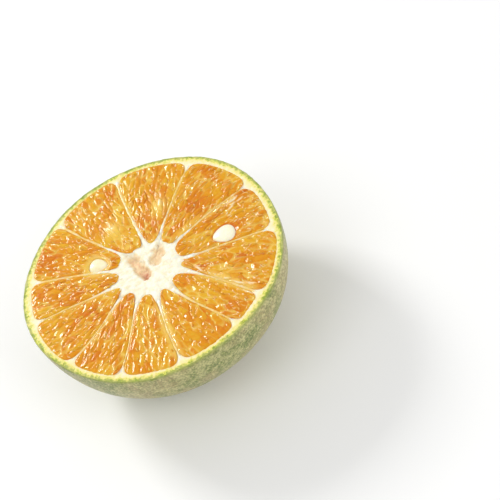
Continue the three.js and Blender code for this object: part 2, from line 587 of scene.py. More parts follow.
class ShaderSheet(NodeSheet):
    """A material's nodes, with short names for the ones that every finish here uses."""

    def __init__(self, name: str) -> None:
        """Makes a material with nothing but its Principled shader and its output.

        Args:
            name: The material's name.
        """
        self.material = bpy.data.materials.new(name)
        self.material.use_nodes = True
        super().__init__(self.material.node_tree)
        self.shader = self.tree.nodes["Principled BSDF"]
        self.place = self.add("ShaderNodeTexCoord").outputs["Object"]

    def mark(self, name: str) -> Socket:
        """Reads one of the piece's own numbers."""
        return self.add("ShaderNodeAttribute", attribute_name=name).outputs["Fac"]

    def noise(self, spacing: float, detail: float = 3) -> Socket:
        """Gives noise from 0 to 1 whose humps are about a spacing in millimetres apart."""
        inputs = {"Vector": self.place, "Scale": 1 / (spacing * MM), "Detail": detail}
        return self.add("ShaderNodeTexNoise", inputs).outputs[0]

    def fit(self, value: Socket, low: float, high: float, to_low: float = 0, to_high: float = 1) -> Socket:
        """Stretches a range of numbers to another one, and holds it there."""
        return self.add("ShaderNodeMapRange", dict(enumerate((value, low, high, to_low, to_high)))).outputs[0]

    def ramp(self, value: Socket, stops: tuple[tuple[float, Colour], ...]) -> Socket:
        """Turns a number into a colour.

        Args:
            value: The number, from 0 to 1.
            stops: Places and their colours, in order.

        Returns:
            The colour.
        """
        node = self.add("ShaderNodeValToRGB", {0: value})
        marks = node.color_ramp.elements
        while len(marks) < len(stops):
            marks.new(1)
        for mark, (position, colour) in zip(marks, stops):
            mark.position = position
            mark.color = (*colour, 1)
        return node.outputs[0]

    def mix(self, share: Socket, first: Socket | Colour, second: Socket | Colour) -> Socket:
        """Blends two colours.

        Args:
            share: How much there is of the second one, from 0 to 1.
            first: A socket or a colour.
            second: A socket or a colour.

        Returns:
            The blend.
        """
        pair = [(*part, 1) if isinstance(part, tuple) else part for part in (first, second)]
        return self.add("ShaderNodeMix", {0: share, 6: pair[0], 7: pair[1]}, data_type="RGBA").outputs[2]

    def speckled(self, ground: Socket | Colour, *speckles: Speckle) -> Socket:
        """Lays kinds of flecks over a colour, one after the other.

        Args:
            ground: The colour under them.
            *speckles: The kinds.

        Returns:
            The speckled colour.
        """
        for kind in speckles:
            flecks = self.fit(self.noise(kind.spacing, kind.detail), kind.start, kind.full, 0, kind.strength)
            ground = self.mix(flecks, ground, kind.colour)
        return ground

    def plug(self, name: str, socket: Socket) -> None:
        """Joins a socket to one of the shader's own."""
        self.tree.links.new(socket, self.shader.inputs[name])

    def bump(self, spacing: float, detail: float, depth: float, strength: float) -> None:
        """Roughens the surface with noise, by up to a depth in millimetres."""
        inputs = {"Height": self.noise(spacing, detail), "Distance": depth * MM, "Strength": strength}
        self.plug("Normal", self.add("ShaderNodeBump", inputs).outputs[0])

    def set(self, **numbers: float | Colour) -> None:
        """Sets the shader's own sockets, by their names with the words joined by underscores."""
        for name, value in numbers.items():
            self.shader.inputs[name.replace("_", " ")].default_value = value

    def soften(self, weight: float, colours: Colour, reach: float) -> None:
        """Lets light into the surface, by a reach in millimetres for each colour's share."""
        self.set(Subsurface_Weight=weight, Subsurface_Radius=colours, Subsurface_Scale=reach * MM)


@dataclass(frozen=True)
class FleshFinish:
    """Wet, translucent orange juice sacs."""

    deep: Colour = srgb(212, 112, 0)
    body: Colour = srgb(223, 147, 2)
    light: Colour = srgb(229, 178, 34)
    thin_film: Colour = srgb(245, 192, 98)
    film: Colour = srgb(251, 220, 154)
    # Whitest film colour, for torn films and for the painted highlights on the beads
    white_film_and_highlight: Colour = srgb(255, 249, 230)
    glow: Colour = srgb(240, 204, 92)

    def material(self) -> Material:
        """Makes the finish, which reads the marks tone, film and glow.

        Returns:
            The new material.
        """
        sheet = ShaderSheet("flesh")
        mottle = sheet.fit(sheet.noise(0.9), 0.3, 0.7, -0.1, 0.1)
        tone = sheet.sums("ADD", sheet.mark("tone"), mottle)
        base = sheet.ramp(tone, ((0.1, self.deep), (0.5, self.body), (0.9, self.light)))
        lit = sheet.mix(sheet.mark("glow"), base, self.glow)
        films = ((0.0, self.thin_film), (0.55, self.film), (0.95, self.white_film_and_highlight))
        colour = sheet.mix(sheet.mark("film"), lit, sheet.ramp(sheet.mark("film"), films))
        sheet.plug("Base Color", colour)
        sheet.plug("Roughness", sheet.fit(sheet.noise(1.4, 2), 0.3, 0.7, 0.14, 0.3))
        sheet.bump(0.35, 3, 0.04, 0.35)
        sheet.soften(0.3, (1.0, 0.55, 0.15), 1.0)
        sheet.set(Coat_Weight=0.65, Coat_Roughness=0.05, Coat_IOR=1.42, IOR=1.36, Specular_IOR_Level=0.25)
        return sheet.material


@dataclass(frozen=True)
class SkinFinish:
    """The thin, pale walls between the segments, clearer where they are far from the core."""

    clear: Colour = srgb(252, 204, 112)
    white: Colour = srgb(254, 250, 232)

    def material(self) -> Material:
        """Makes the finish, which reads the mark white.

        Returns:
            The new material.
        """
        sheet = ShaderSheet("segment_skin")
        patches = sheet.fit(sheet.noise(1.5), 0.3, 0.7, -0.3, 0.4)
        white = sheet.fit(sheet.sums("ADD", sheet.mark("white"), patches), 0, 1)
        sheet.plug("Base Color", sheet.mix(white, self.clear, self.white))
        sheet.bump(0.35, 3, 0.04, 0.6)
        sheet.soften(0.4, (1.0, 0.6, 0.25), 1.2)
        sheet.set(Roughness=0.36, Coat_Weight=0.35, Coat_Roughness=0.15)
        return sheet.material


@dataclass(frozen=True)
class PithFinish:
    """Dry, fibrous white pith, with beige in its hollows."""

    white: Colour = srgb(253, 249, 230)
    cream: Colour = srgb(248, 236, 200)
    beige: Colour = srgb(242, 214, 168)
    brown: Colour = srgb(216, 146, 114)

    def material(self) -> Material:
        """Makes the finish, which reads the mark sunk.

        Returns:
            The new material.
        """
        sheet = ShaderSheet("core_pith")
        flecked = sheet.speckled(self.white, Speckle(1.1, 4, 0.42, 0.66, 1, self.cream))
        tinted = sheet.mix(sheet.fit(sheet.mark("sunk"), 0.02, 0.4), flecked, self.beige)
        spots = sheet.fit(sheet.noise(1.1, 4), 0.34, 0.56)
        browned = sheet.sums("MULTIPLY", sheet.fit(sheet.mark("sunk"), 0.5, 1), spots)
        sheet.plug("Base Color", sheet.mix(browned, tinted, self.brown))
        sheet.bump(0.4, 5, 0.14, 0.8)
        sheet.soften(0.35, (1.0, 0.8, 0.6), 1.0)
        sheet.set(Roughness=0.7, Sheen_Weight=0.15)
        return sheet.material


@dataclass(frozen=True)
class PeelFinish:
    """Waxy green rind with oil glands, and the pale layers that the cut shows under it."""

    gland: Colour = srgb(84, 90, 42)
    green: Colour = srgb(122, 136, 66)
    olive: Colour = srgb(174, 158, 108)
    pale: Colour = srgb(212, 204, 144)
    rim_green: Colour = srgb(146, 162, 52)
    scar: Colour = srgb(122, 104, 66)
    speckles: tuple[Speckle, ...] = (
        Speckle(8, 4, 0.43, 0.57, 1, olive),
        Speckle(2.4, 3, 0.44, 0.6, 0.65, pale),
        Speckle(0.6, 2, 0.44, 0.62, 0.6, pale),
        Speckle(0.5, 2, 0.52, 0.68, 0.5, gland),
    )
    layers: tuple[tuple[float, Colour], ...] = (
        (0.0, rim_green),
        (0.14, rim_green),
        (0.24, srgb(206, 210, 76)),
        (0.37, srgb(238, 228, 124)),
        (0.55, srgb(250, 236, 176)),
        (0.85, srgb(254, 242, 208)),
    )
    blotches: Speckle = Speckle(1.9, 4, 0.42, 0.7, 0.5, srgb(246, 226, 148))
    layers_depth: float = 3
    raggedness: float = 0.62

    def material(self) -> Material:
        """Makes the finish, which reads the marks gland, rim, scar and skin, the depth under the rind.

        Returns:
            The new material.
        """
        sheet = ShaderSheet("peel")
        speckled = sheet.speckled(self.green, *self.speckles)
        dotted = sheet.mix(sheet.fit(sheet.mark("gland"), 0.1, 0.9, 0, 0.5), speckled, self.gland)
        near_rim = sheet.mix(sheet.mark("rim"), dotted, self.rim_green)
        outside = sheet.mix(sheet.mark("scar"), near_rim, self.scar)
        ragged = sheet.fit(sheet.noise(0.8, 4), 0.3, 0.7, -self.raggedness, self.raggedness)
        depth = sheet.fit(sheet.sums("ADD", sheet.mark("skin"), ragged), 0, self.layers_depth)
        cut = sheet.speckled(sheet.ramp(depth, self.layers), self.blotches)
        sheet.plug("Base Color", sheet.mix(sheet.fit(sheet.mark("skin"), 0.02, 0.1), outside, cut))
        sheet.plug("Roughness", sheet.fit(sheet.mark("skin"), 0, 0.5, 0.42, 0.62))
        sheet.bump(0.3, 4, 0.06, 0.6)
        sheet.soften(0.12, (0.8, 1.0, 0.4), 0.8)
        sheet.set(Specular_IOR_Level=0.5, Coat_Weight=0.12, Coat_Roughness=0.3)
        return sheet.material


@dataclass(frozen=True)
class SeedFinish:
    """A smooth ivory seed coat, with faint veins towards its pointed end, and beige where skin covers it,
    which painted shade makes stronger on one side.
    """

    ivory: Colour = srgb(255, 252, 222)
    shade: Colour = srgb(244, 230, 186)
    veil_and_shade: Colour = srgb(240, 216, 150)

    def material(self) -> Material:
        """Makes the finish, which reads the marks point, 1 at the pointed end, and veiled.

        Returns:
            The new material.
        """
        sheet = ShaderSheet("seed_coat")
        veins = sheet.fit(sheet.noise(0.9), 0.45, 0.75, 0, 0.35)
        coat = sheet.mix(sheet.sums("MAXIMUM", veins, sheet.mark("point")), self.ivory, self.shade)
        patches = sheet.fit(sheet.noise(2.2), 0.3, 0.7, 0.35, 1)
        # Beige where skin covers the seed, made stronger on its lower side as painted shade
        covered_and_shaded = sheet.sums("MULTIPLY", sheet.mark("veil_and_shade"), patches)
        sheet.plug("Base Color", sheet.mix(covered_and_shaded, coat, self.veil_and_shade))
        sheet.bump(0.5, 3, 0.03, 0.6)
        sheet.soften(0.3, (1.0, 0.8, 0.5), 1.2)
        sheet.set(Roughness=0.3, Coat_Weight=0.35, Coat_Roughness=0.15)
        return sheet.material


SEED_TAPER = 0.28


def egg_girth(along: Array) -> Array:
    """Width of an egg, against an ellipse's, at -1 by its blunt end to 1 by its pointed one."""
    return 1 - SEED_TAPER * np.clip(along, -1, 1)


@dataclass(frozen=True)
class SeedPlan:
    """Where a seed lies, its size above and below its widest part, and how much skin covers it."""

    at: Span
    sink: float
    length: float
    width: float
    rise: float
    drop: float
    heading: float
    segment: int
    veil: float

    def shares(self, flat: Array, room: float = 0) -> tuple[Array, Array]:
        """Gives points of the cut face along and across the seed, as shares of half its size and a room."""
        along, aside = turned_back(flat[:, 0] - self.at[0], flat[:, 1] - self.at[1], self.heading)
        return along / (self.length / 2 + room), aside / (self.width / 2 + room)


SEED_PLANS = (
    SeedPlan((20.1, -3.8), 0.3, 6.6, 5.5, 0.95, 3.3, 168, 11, 0.0),
    SeedPlan((-11.9, 9.5), 0.5, 5.5, 4.6, 0.75, 3.0, -38, 3, 0.75),
    SeedPlan((-3.9, 16.9), 3.1, 6.6, 4.8, 2.0, 1.2, -77, 2, 1.0),
    SeedPlan((9.6, 15.9), 3.1, 6.6, 4.8, 2.0, 1.2, -118, 1, 1.0),
)


@dataclass(frozen=True)
class Veil:
    """A wall that lies aslant in the flesh and shows as a pale band along one side of a segment."""

    segment: int
    side: int
    width: float
    reach: Span
    strength: float


VEILS = (
    Veil(4, -1, 2.0, (8.0, 19.0), 0.8),
    Veil(5, -1, 1.1, (10.0, 26.0), 0.5),
    Veil(7, 1, 1.3, (13.0, 33.0), 0.85),
    Veil(8, -1, 1.2, (12.0, 33.0), 0.85),
    Veil(9, 1, 0.9, (14.0, 33.0), 0.7),
    Veil(10, -1, 1.6, (16.0, 33.0), 0.9),
    Veil(6, -1, 0.9, (12.0, 27.0), 0.6),
    Veil(11, 1, 1.2, (18.0, 30.0), 0.6),
    Veil(0, -1, 1.6, (9.0, 20.0), 0.6),
)


@dataclass(frozen=True)
class Tear:
    """A torn, whitish strip of skin on the flesh: its middle, half its length and width, its heading."""

    at: Span
    half_length: float
    half_width: float
    heading: float


TEARS = (
    Tear((26.4, 4.2), 2.5, 0.55, 14),
    Tear((25.6, 2.6), 2.2, 0.42, 20),
    Tear((28.4, 3.4), 1.5, 0.36, 8),
    Tear((24.6, 0.9), 1.6, 0.26, 26),
    Tear((22.6, 4.2), 1.3, 0.22, 24),
    Tear((9.9, -9.5), 2.2, 0.5, -72),
    Tear((12.6, -15.6), 1.9, 0.5, -53),
    Tear((16.4, -20.2), 2.6, 0.42, -50),
    Tear((17.0, -24.4), 2.2, 0.36, -62),
    Tear((18.9, -22.6), 2.0, 0.32, -44),
    Tear((14.4, -17.2), 1.4, 0.26, -38),
)


@dataclass(frozen=True)
class CutFace:
    """One segment's cut face as a grid of points, row by row, and where in the segment each one is."""

    index: int
    rows: int
    columns: int
    across: Array
    out: Array
    angle: Array
    radius: Array
    half: Array
    reach: Span

    @property
    def side(self) -> Array:
        """Distances from the segment's middle line."""
        return self.across * self.half

    @property
    def border(self) -> Array:
        """Distances from the segment's edge."""
        ends = np.minimum(self.out, 1 - self.out) * (self.reach[1] - self.reach[0])
        return np.minimum((1 - np.abs(self.across)) * self.half, ends)

    @property
    def flat(self) -> Array:
        """The points, at no height."""
        return polar_points(self.angle, self.radius, 0.0)


@dataclass
class Surface:
    """What a cut face is like at each point: its height, its marks, and its room for a loose sac."""

    height: Array
    tone: Array
    film: Array
    glow: Array
    room: Array


@dataclass(frozen=True)
class SacField:
    """The juice sacs that the cut has gone through, as a pattern over one segment's cut face."""

    row_step: float = 3.3
    column_step: float = 1.65
    jitter: float = 0.44
    lean: float = 10
    stretch: Span = (1.9, 3.1)
    dice: int = 4

    def sow(self, plan: FruitPlan, face: CutFace, rng: Random) -> dict[str, Array]:
        """Places the sacs in staggered rows.

        Args:
            plan: The fruit's form.
            face: The cut face.
            rng: The random numbers to draw from.

        Returns:
            Arrays of the sacs' places, leans, stretches and random numbers.
        """
        places = []
        for row, radius in enumerate(np.arange(face.reach[0] - 1, face.reach[1] + 1, self.row_step)):
            edge = plan.half_width(face.index, radius) + self.column_step / 2
            start = -edge + (row % 2) * self.column_step / 2
            places += [(radius, side) for side in np.arange(start, edge, self.column_step)]
        spots = np.array(places)
        spots += rng.uniform(-self.jitter, self.jitter, spots.shape) * (self.row_step, self.column_step)
        count = len(spots)
        return {
            "spot": spots,
            "lean": rng.normal(0, self.lean, count),
            "stretch": rng.uniform(*self.stretch, count),
            "dice": rng.uniform(0, 1, (count, self.dice)),
        }

    def nearest(self, sacs: dict[str, Array], radius: Array, side: Array) -> tuple[Array, Array, Array]:
        """Finds the sac that each point is in.

        Args:
            sacs: What sow returned.
            radius: The points' distances from the axis.
            side: Their distances from the segment's middle line.

        Returns:
            The sac, the next one, and the distance from the border between them.
        """
        first, second = np.full((2, len(radius)), np.inf)
        owner, runner = np.zeros((2, len(radius)), int)
        for k, (spot, lean, stretch) in enumerate(zip(sacs["spot"], sacs["lean"], sacs["stretch"])):
            along, over = turned_back(radius - spot[0], side - spot[1], lean)
            distance = np.hypot(along / stretch, over)
            nearer = distance < first
            between = ~nearer & (distance < second)
            second = np.where(nearer, first, np.where(between, distance, second))
            runner = np.where(nearer, owner, np.where(between, k, runner))
            first = np.where(nearer, distance, first)
            owner = np.where(nearer, k, owner)
        return owner, runner, (second - first) / 2


@dataclass(frozen=True)
class Stroke:
    """A kind of short mark on the flesh: how many a segment has, half their length and half their width."""

    count: int
    half_length: Span
    half_width: Span


@dataclass(frozen=True)
class Strokes:
    """Torn films, small raised beads painted near-white as highlights, and larger torn strips on the cut
    face.
    """

    film: Stroke = Stroke(30, (0.5, 1.6), (0.13, 0.19))
    highlight_bead: Stroke = Stroke(52, (0.2, 0.6), (0.13, 0.21))
    side_reach: float = 0.95
    lean: float = 32
    bend: float = 0.45
    farthest: float = 2
    paleness: Span = (0.4, 1)
    strip_wander: Humps = Humps(1.4, 0.25, 41, 2)
    strands: Humps = Humps(0.8, 0.3, 43, 1)

    def draw(self, plan: FruitPlan, face: CutFace, busyness: float, rng: Random) -> tuple[Array, Array]:
        """Draws the films and the beads of one segment; the beads are painted highlights.

        Args:
            plan: The fruit's form.
            face: The cut face.
            busyness: How many there are, against the usual number.
            rng: The random numbers to draw from.

        Returns:
            How much film and how much bead there is at each point.
        """
        radius, side = face.radius, face.side
        film, highlight_bead = np.zeros((2, len(radius)))
        for kind, amount in ((self.film, film), (self.highlight_bead, highlight_bead)):
            for _ in range(round(kind.count * busyness)):
                at = math.sqrt(rng.uniform(face.reach[0] ** 2, face.reach[1] ** 2))
                over = rng.uniform(-self.side_reach, self.side_reach) * plan.half_width(face.index, at)
                lean = rng.normal(0, self.lean)
                length, width = rng.uniform(*kind.half_length), rng.uniform(*kind.half_width)
                bend = rng.normal(0, self.bend)
                near = np.hypot(radius - at, side - over) < self.farthest
                x, y = turned_back(radius[near] - at, side[near] - over, lean)
                drawn = np.clip(1 - (x / length) ** 2 - ((y + bend * x * x) / width) ** 2, 0, 1)
                amount[near] = np.maximum(amount[near], drawn * rng.uniform(*self.paleness))
        return film, highlight_bead

    def strips(self, flat: Array) -> Array:
        """Draws the larger torn strips, each with finer strands along it.

        Args:
            flat: The cut face's points.

        Returns:
            How much strip there is at each point.
        """
        film = np.zeros(len(flat))
        for tear in TEARS:
            away = flat - (*tear.at, 0)
            near = np.hypot(away[:, 0], away[:, 1]) < tear.half_length + 1
            x, y = turned_back(away[near, 0], away[near, 1], tear.heading)
            y = y + self.strip_wander.at(flat[near] + tear.heading)
            drawn = np.clip(1 - (x / tear.half_length) ** 2 - (y / tear.half_width) ** 2, 0, 1)
            strands = 0.8 + self.strands.at(np.stack([x * 0.5, y * 3, 0 * x], 1))
            film[near] = np.maximum(film[near], np.minimum(drawn**0.5 * strands, 1))
        return film


@dataclass(frozen=True)
class SeedShow:
    """How seeds show in the flesh: bare in a bed of their own, or as a glow and pale fibres above them, with
    a painted highlight at the blunt end.
    """

    bed_room: float = 0.03
    bed_wall: Span = (0.86, 1.02)
    bed_slack: float = 0.4
    coat_edge: Span = (1.3, 1.45)
    coat_rise: float = 0.15
    ridge_at: float = 1.38
    ridge_width: float = 0.07
    ridge_rise: float = 0.2
    pointed_half: Span = (-0.1, 0.5)
    shadow: float = 0.45
    shine_reach: float = 0.95
    shine_rise: float = 0.35
    fibre_rise: float = 0.12
    fibre_turns: float = 6.5
    fibre_wander: Humps = Humps(1.6, 1.6, 47, 1)
    fibre_change: Humps = Humps(0.8, 0.35, 48, 1)

    def hide(self, seed: SeedPlan, flat: Array, surface: Surface) -> None:
        """Makes a seed glow through the flesh, with pale fibres that run over its blunt end and a pale patch
        there that is a painted highlight.

        Args:
            seed: The seed.
            flat: The cut face's points.
            surface: What is changed.
        """
        length, width = seed.shares(flat)
        spots = np.stack([length * seed.length / 2, width * seed.width / 2, 0 * length], 1) + seed.heading
        bent = self.fibre_turns * width * (1 + 0.3 * length) + self.fibre_wander.at(spots)
        lines = (0.5 + 0.5 * np.cos(bent)) ** 3 * (0.85 + self.fibre_change.at(spots))
        lines = lines * bell(length + 0.35, 0.6) * bell(width, 0.62)
        # A pale patch at the blunt end: a painted highlight, added to the pale fibres
        blunt = 0.7 * bell(length + 0.3, 0.34) * bell(width - 0.15, 0.36)
        fibres = np.clip(np.maximum(lines, blunt), 0, 1)
        shine = bell(np.hypot(length, width), self.shine_reach)
        surface.glow = np.maximum(surface.glow, 0.95 * shine)
        surface.film = np.maximum(surface.film * (1 - 0.6 * shine), fibres)
        surface.height = surface.height + self.shine_rise * shine + self.fibre_rise * fibres
        surface.room = surface.room * (1 - shine)

    def bare(self, seed: SeedPlan, flat: Array, surface: Surface) -> None:
        """Sinks a bed for a seed, with a torn skin round the pointed half of one that a skin covers.

        Args:
            seed: The seed.
            flat: The cut face's points.
            surface: What is changed.
        """
        along, aside = seed.shares(flat, self.bed_room)
        share = np.hypot(along, aside / egg_girth(along))
        torn = seed.veil * smooth_step(*self.pointed_half, along)
        coat = torn * (1 - smooth_step(*self.coat_edge, share))
        ridge = torn * bell(share - self.ridge_at, self.ridge_width)
        near = seed.veil * (1 - smooth_step(1.0, 1.7, share))
        bed = (seed.sink + self.bed_slack) * (1 - smooth_step(*self.bed_wall, share))
        calm = surface.height * smooth_step(0.95, 1.4, share)
        surface.height = calm - bed + self.coat_rise * coat + self.ridge_rise * ridge
        surface.tone = surface.tone - self.shadow * (1 - smooth_step(1.0, 1.18, share)) * (1 - seed.veil)
        surface.glow = np.maximum(surface.glow, 1.1 * near)
        film = surface.film * smooth_step(0.95, 1.2, share) + 0.25 * near
        surface.film = highest(film, 0.45 * coat, 0.9 * ridge)
        surface.room = surface.room * smooth_step(1.15, 1.4, share)


@dataclass
class Flesh:
    """The twelve segments' flesh, with its juice sacs in relief on the cut face."""

    plan: FruitPlan
    sacs: SacField = SacField()
    strokes: Strokes = Strokes()
    seeds: SeedShow = SeedShow()
    first_seed: int = 100
    grain: float = 0.155
    edge_drop: float = 0.12
    crown: float = 0.12
    edge_width: float = 0.3
    bulge: float = 0.44
    least_bulge: float = 0.2
    sac_half_width: float = 0.7
    seam_width: float = 0.12
    seam_depth: float = 0.08
    golden_width: float = 0.19
    golden_gain: float = 2.4
    golden_floor: float = 0.25
    golden_limit: float = 0.8
    film_rise: float = 0.14
    bead_rise: float = 0.22
    strip_rise: float = 0.28
    tone_spread: float = 0.42
    seam_shade: float = 0.1
    edge_light: float = 0.2
    edge_light_width: float = 0.5
    film_tint: float = 0.85
    veil_tint: float = 0.3
    veil_calm: float = 0.6
    warp_aside: float = 0.6
    warp: Humps = Humps(1.6, 0.35, 7, 2)
    roughness: Humps = Humps(0.9, 0.06, 21)
    clouds: Humps = Humps(5, 0.26, 31, 2)
    veil_patches: Humps = Humps(1.8, 0.35, 45)
    busyness: tuple[float, ...] = (1.1, 0.9, 0.85, 0.9, 1, 0.9, 0.7, 0.45, 0.45, 0.75, 1.3, 1.6)
    depths: tuple[float, ...] = (0.03, 0.08, 0.14, 0.2, 0.31, 0.42, 0.52, 0.62, 0.71, 0.79, 0.86)
    beds: list[tuple[Array, Array, Array]] = field(default_factory=list)

    def face(self, index: int) -> CutFace:
        """Lays the grid of one segment's cut face, with its corners rounded.

        Args:
            index: The segment, from 0.

        Returns:
            The grid.
        """
        inner, outer = self.plan.radii(index, 0)
        middle = float(self.plan.place(index, np.array(0.0), np.array(0.6), 0)[2])
        columns, rows = int(2 * middle / self.grain), int((outer - inner) / self.grain)
        v, u = np.meshgrid(np.linspace(-1, 1, rows), np.linspace(-1, 1, columns), indexing="ij")
        u, v = u.ravel(), v.ravel()
        reach = np.maximum(np.abs(u), np.abs(v))
        safe = np.where(reach > 0, reach, 1)
        power = self.plan.corner_power(index, 0.5 + v / 2)
        round_off = (np.abs(u / safe) ** power + np.abs(v / safe) ** power) ** (-1 / power)
        pull = np.where(reach > 0, 1 + (round_off - 1) * reach**3, 1)
        across, out = u * pull, 0.5 + v * pull / 2
        spot = self.plan.place(index, across, out, 0)
        return CutFace(index, rows, columns, across, out, *spot, (inner, outer))

    def veil(self, face: CutFace) -> Array:
        """Draws the pale bands where walls lie aslant under one cut face.

        Args:
            face: The cut face.

        Returns:
            How pale each point is.
        """
        total = np.zeros(len(face.radius))
        patches = 0.75 + self.veil_patches.at(face.flat)
        for veil in VEILS:
            if veil.segment == face.index:
                gap = (1 - veil.side * face.across) * face.half
                start, end = veil.reach
                ends = smooth_step(start - 2, start + 2, face.radius)
                ends = ends * (1 - smooth_step(end - 4, end + 1, face.radius))
                total = np.maximum(total, veil.strength * np.exp(-((gap / veil.width) ** 4)) * ends * patches)
        return total

    def surface(self, face: CutFace, rng: Random) -> Surface:
        """Works out one cut face's relief and tints, and sets its seeds in it.

        Args:
            face: The cut face.
            rng: The random numbers to draw from.

        Returns:
            The surface.
        """
        flat, border, busyness = face.flat, face.border, self.busyness[face.index]
        sown = self.sacs.sow(self.plan, face, rng)
        warp = self.warp.at(flat)
        owner, runner, edge = self.sacs.nearest(sown, face.radius + warp, face.side + self.warp_aside * warp)
        size, shade, gold = sown["dice"][owner, :3].T
        film, highlight_bead = self.strokes.draw(self.plan, face, busyness, rng)
        strips = self.strokes.strips(flat)
        veil = self.veil(face)
        seam = bell(edge, self.seam_width)
        bulge = self.bulge * size * (self.least_bulge + (1 - self.least_bulge) * busyness)
        pillow = 1 - (1 - np.minimum(edge / self.sac_half_width, 1)) ** 2
        rise = 1 - np.exp(-np.maximum(border, 0) / self.edge_width)
        height = -self.edge_drop + (self.edge_drop + self.crown) * rise
        height += rise * (bulge * pillow - self.seam_depth * seam) * (1 - self.veil_calm * veil)
        height += self.film_rise * film + self.bead_rise * highlight_bead + self.strip_rise * strips
        height += rise * self.roughness.at(flat)
        tone = 0.5 + self.tone_spread * (shade - 0.5) + self.clouds.at(flat) - self.seam_shade * seam
        tone += self.edge_light * np.exp(-border / self.edge_light_width)
        golden = self.golden_gain * gold * sown["dice"][runner, 2] - self.golden_floor
        golden = np.clip(golden, 0, self.golden_limit) * bell(edge, self.golden_width)
        # The beads' near-white tint is painted highlight on small raised bumps
        tint = highest(self.film_tint * film**0.8, highlight_bead**0.5, strips, self.veil_tint * veil)
        room = smooth_step(0.5, 1.0, border) * (1 - smooth_step(0.1, 0.3, strips))
        surface = Surface(height, tone, tint, np.maximum(veil, golden), room)
        for seed in SEED_PLANS:
            if seed.segment == face.index:
                show = self.seeds.hide if seed.sink > seed.rise else self.seeds.bare
                show(seed, flat, surface)
        return surface

    def build(self, index: int, material: Material) -> Piece:
        """Makes one segment's flesh.

        Args:
            index: The segment, from 0.
            material: The flesh's finish.

        Returns:
            The new piece.
        """
        face = self.face(index)
        surface = self.surface(face, np.random.default_rng(self.first_seed + index))
        top = polar_points(face.angle, face.radius, self.plan.cut_height + surface.height)
        loop = grid_border(face.rows, face.columns)
        rings = []
        for depth in (*self.depths, self.plan.lowest):
            around, away, _ = self.plan.place(index, face.across[loop], face.out[loop], depth)
            rings.append(polar_points(around, away, self.plan.height_at(depth)))
        middle = self.plan.place(index, np.array(0.0), np.array(0.5), self.plan.lowest)
        end = polar_points(middle[0], middle[1], self.plan.height_at(self.plan.lowest + 0.01))
        points, skirt, bottom = hang_rings(top, loop, rings, end)
        cut = grid_faces(face.rows, face.columns)[:, ::-1]
        self.beds.append((top, cut, surface.room))
        film = np.clip(surface.film, 0, 1)
        marks = {"tone": (surface.tone, 0.5), "film": (film, 0), "glow": (surface.glow, 0)}
        hidden = len(points) - len(top)
        marks = {name: np.append(values, np.full(hidden, under)) for name, (values, under) in marks.items()}
        faces = [np.concatenate([cut, skirt]), bottom]
        return make_piece(f"flesh_{index + 1:02d}", points, faces, marks, material)

    def bed(self) -> Piece:
        """Joins the cut faces that were built, for the loose sacs to lie on.

        Returns:
            The joined faces, with the mark room.
        """
        starts = np.cumsum([0] + [len(top) for top, _, _ in self.beds[:-1]])
        faces = [cut + start for (_, cut, _), start in zip(self.beds, starts)]
        points = np.concatenate([top for top, _, _ in self.beds])
        room = np.concatenate([room for _, _, room in self.beds])
        return stand("sac_bed", make_mesh("sac_bed", points, faces, {"room": room}))


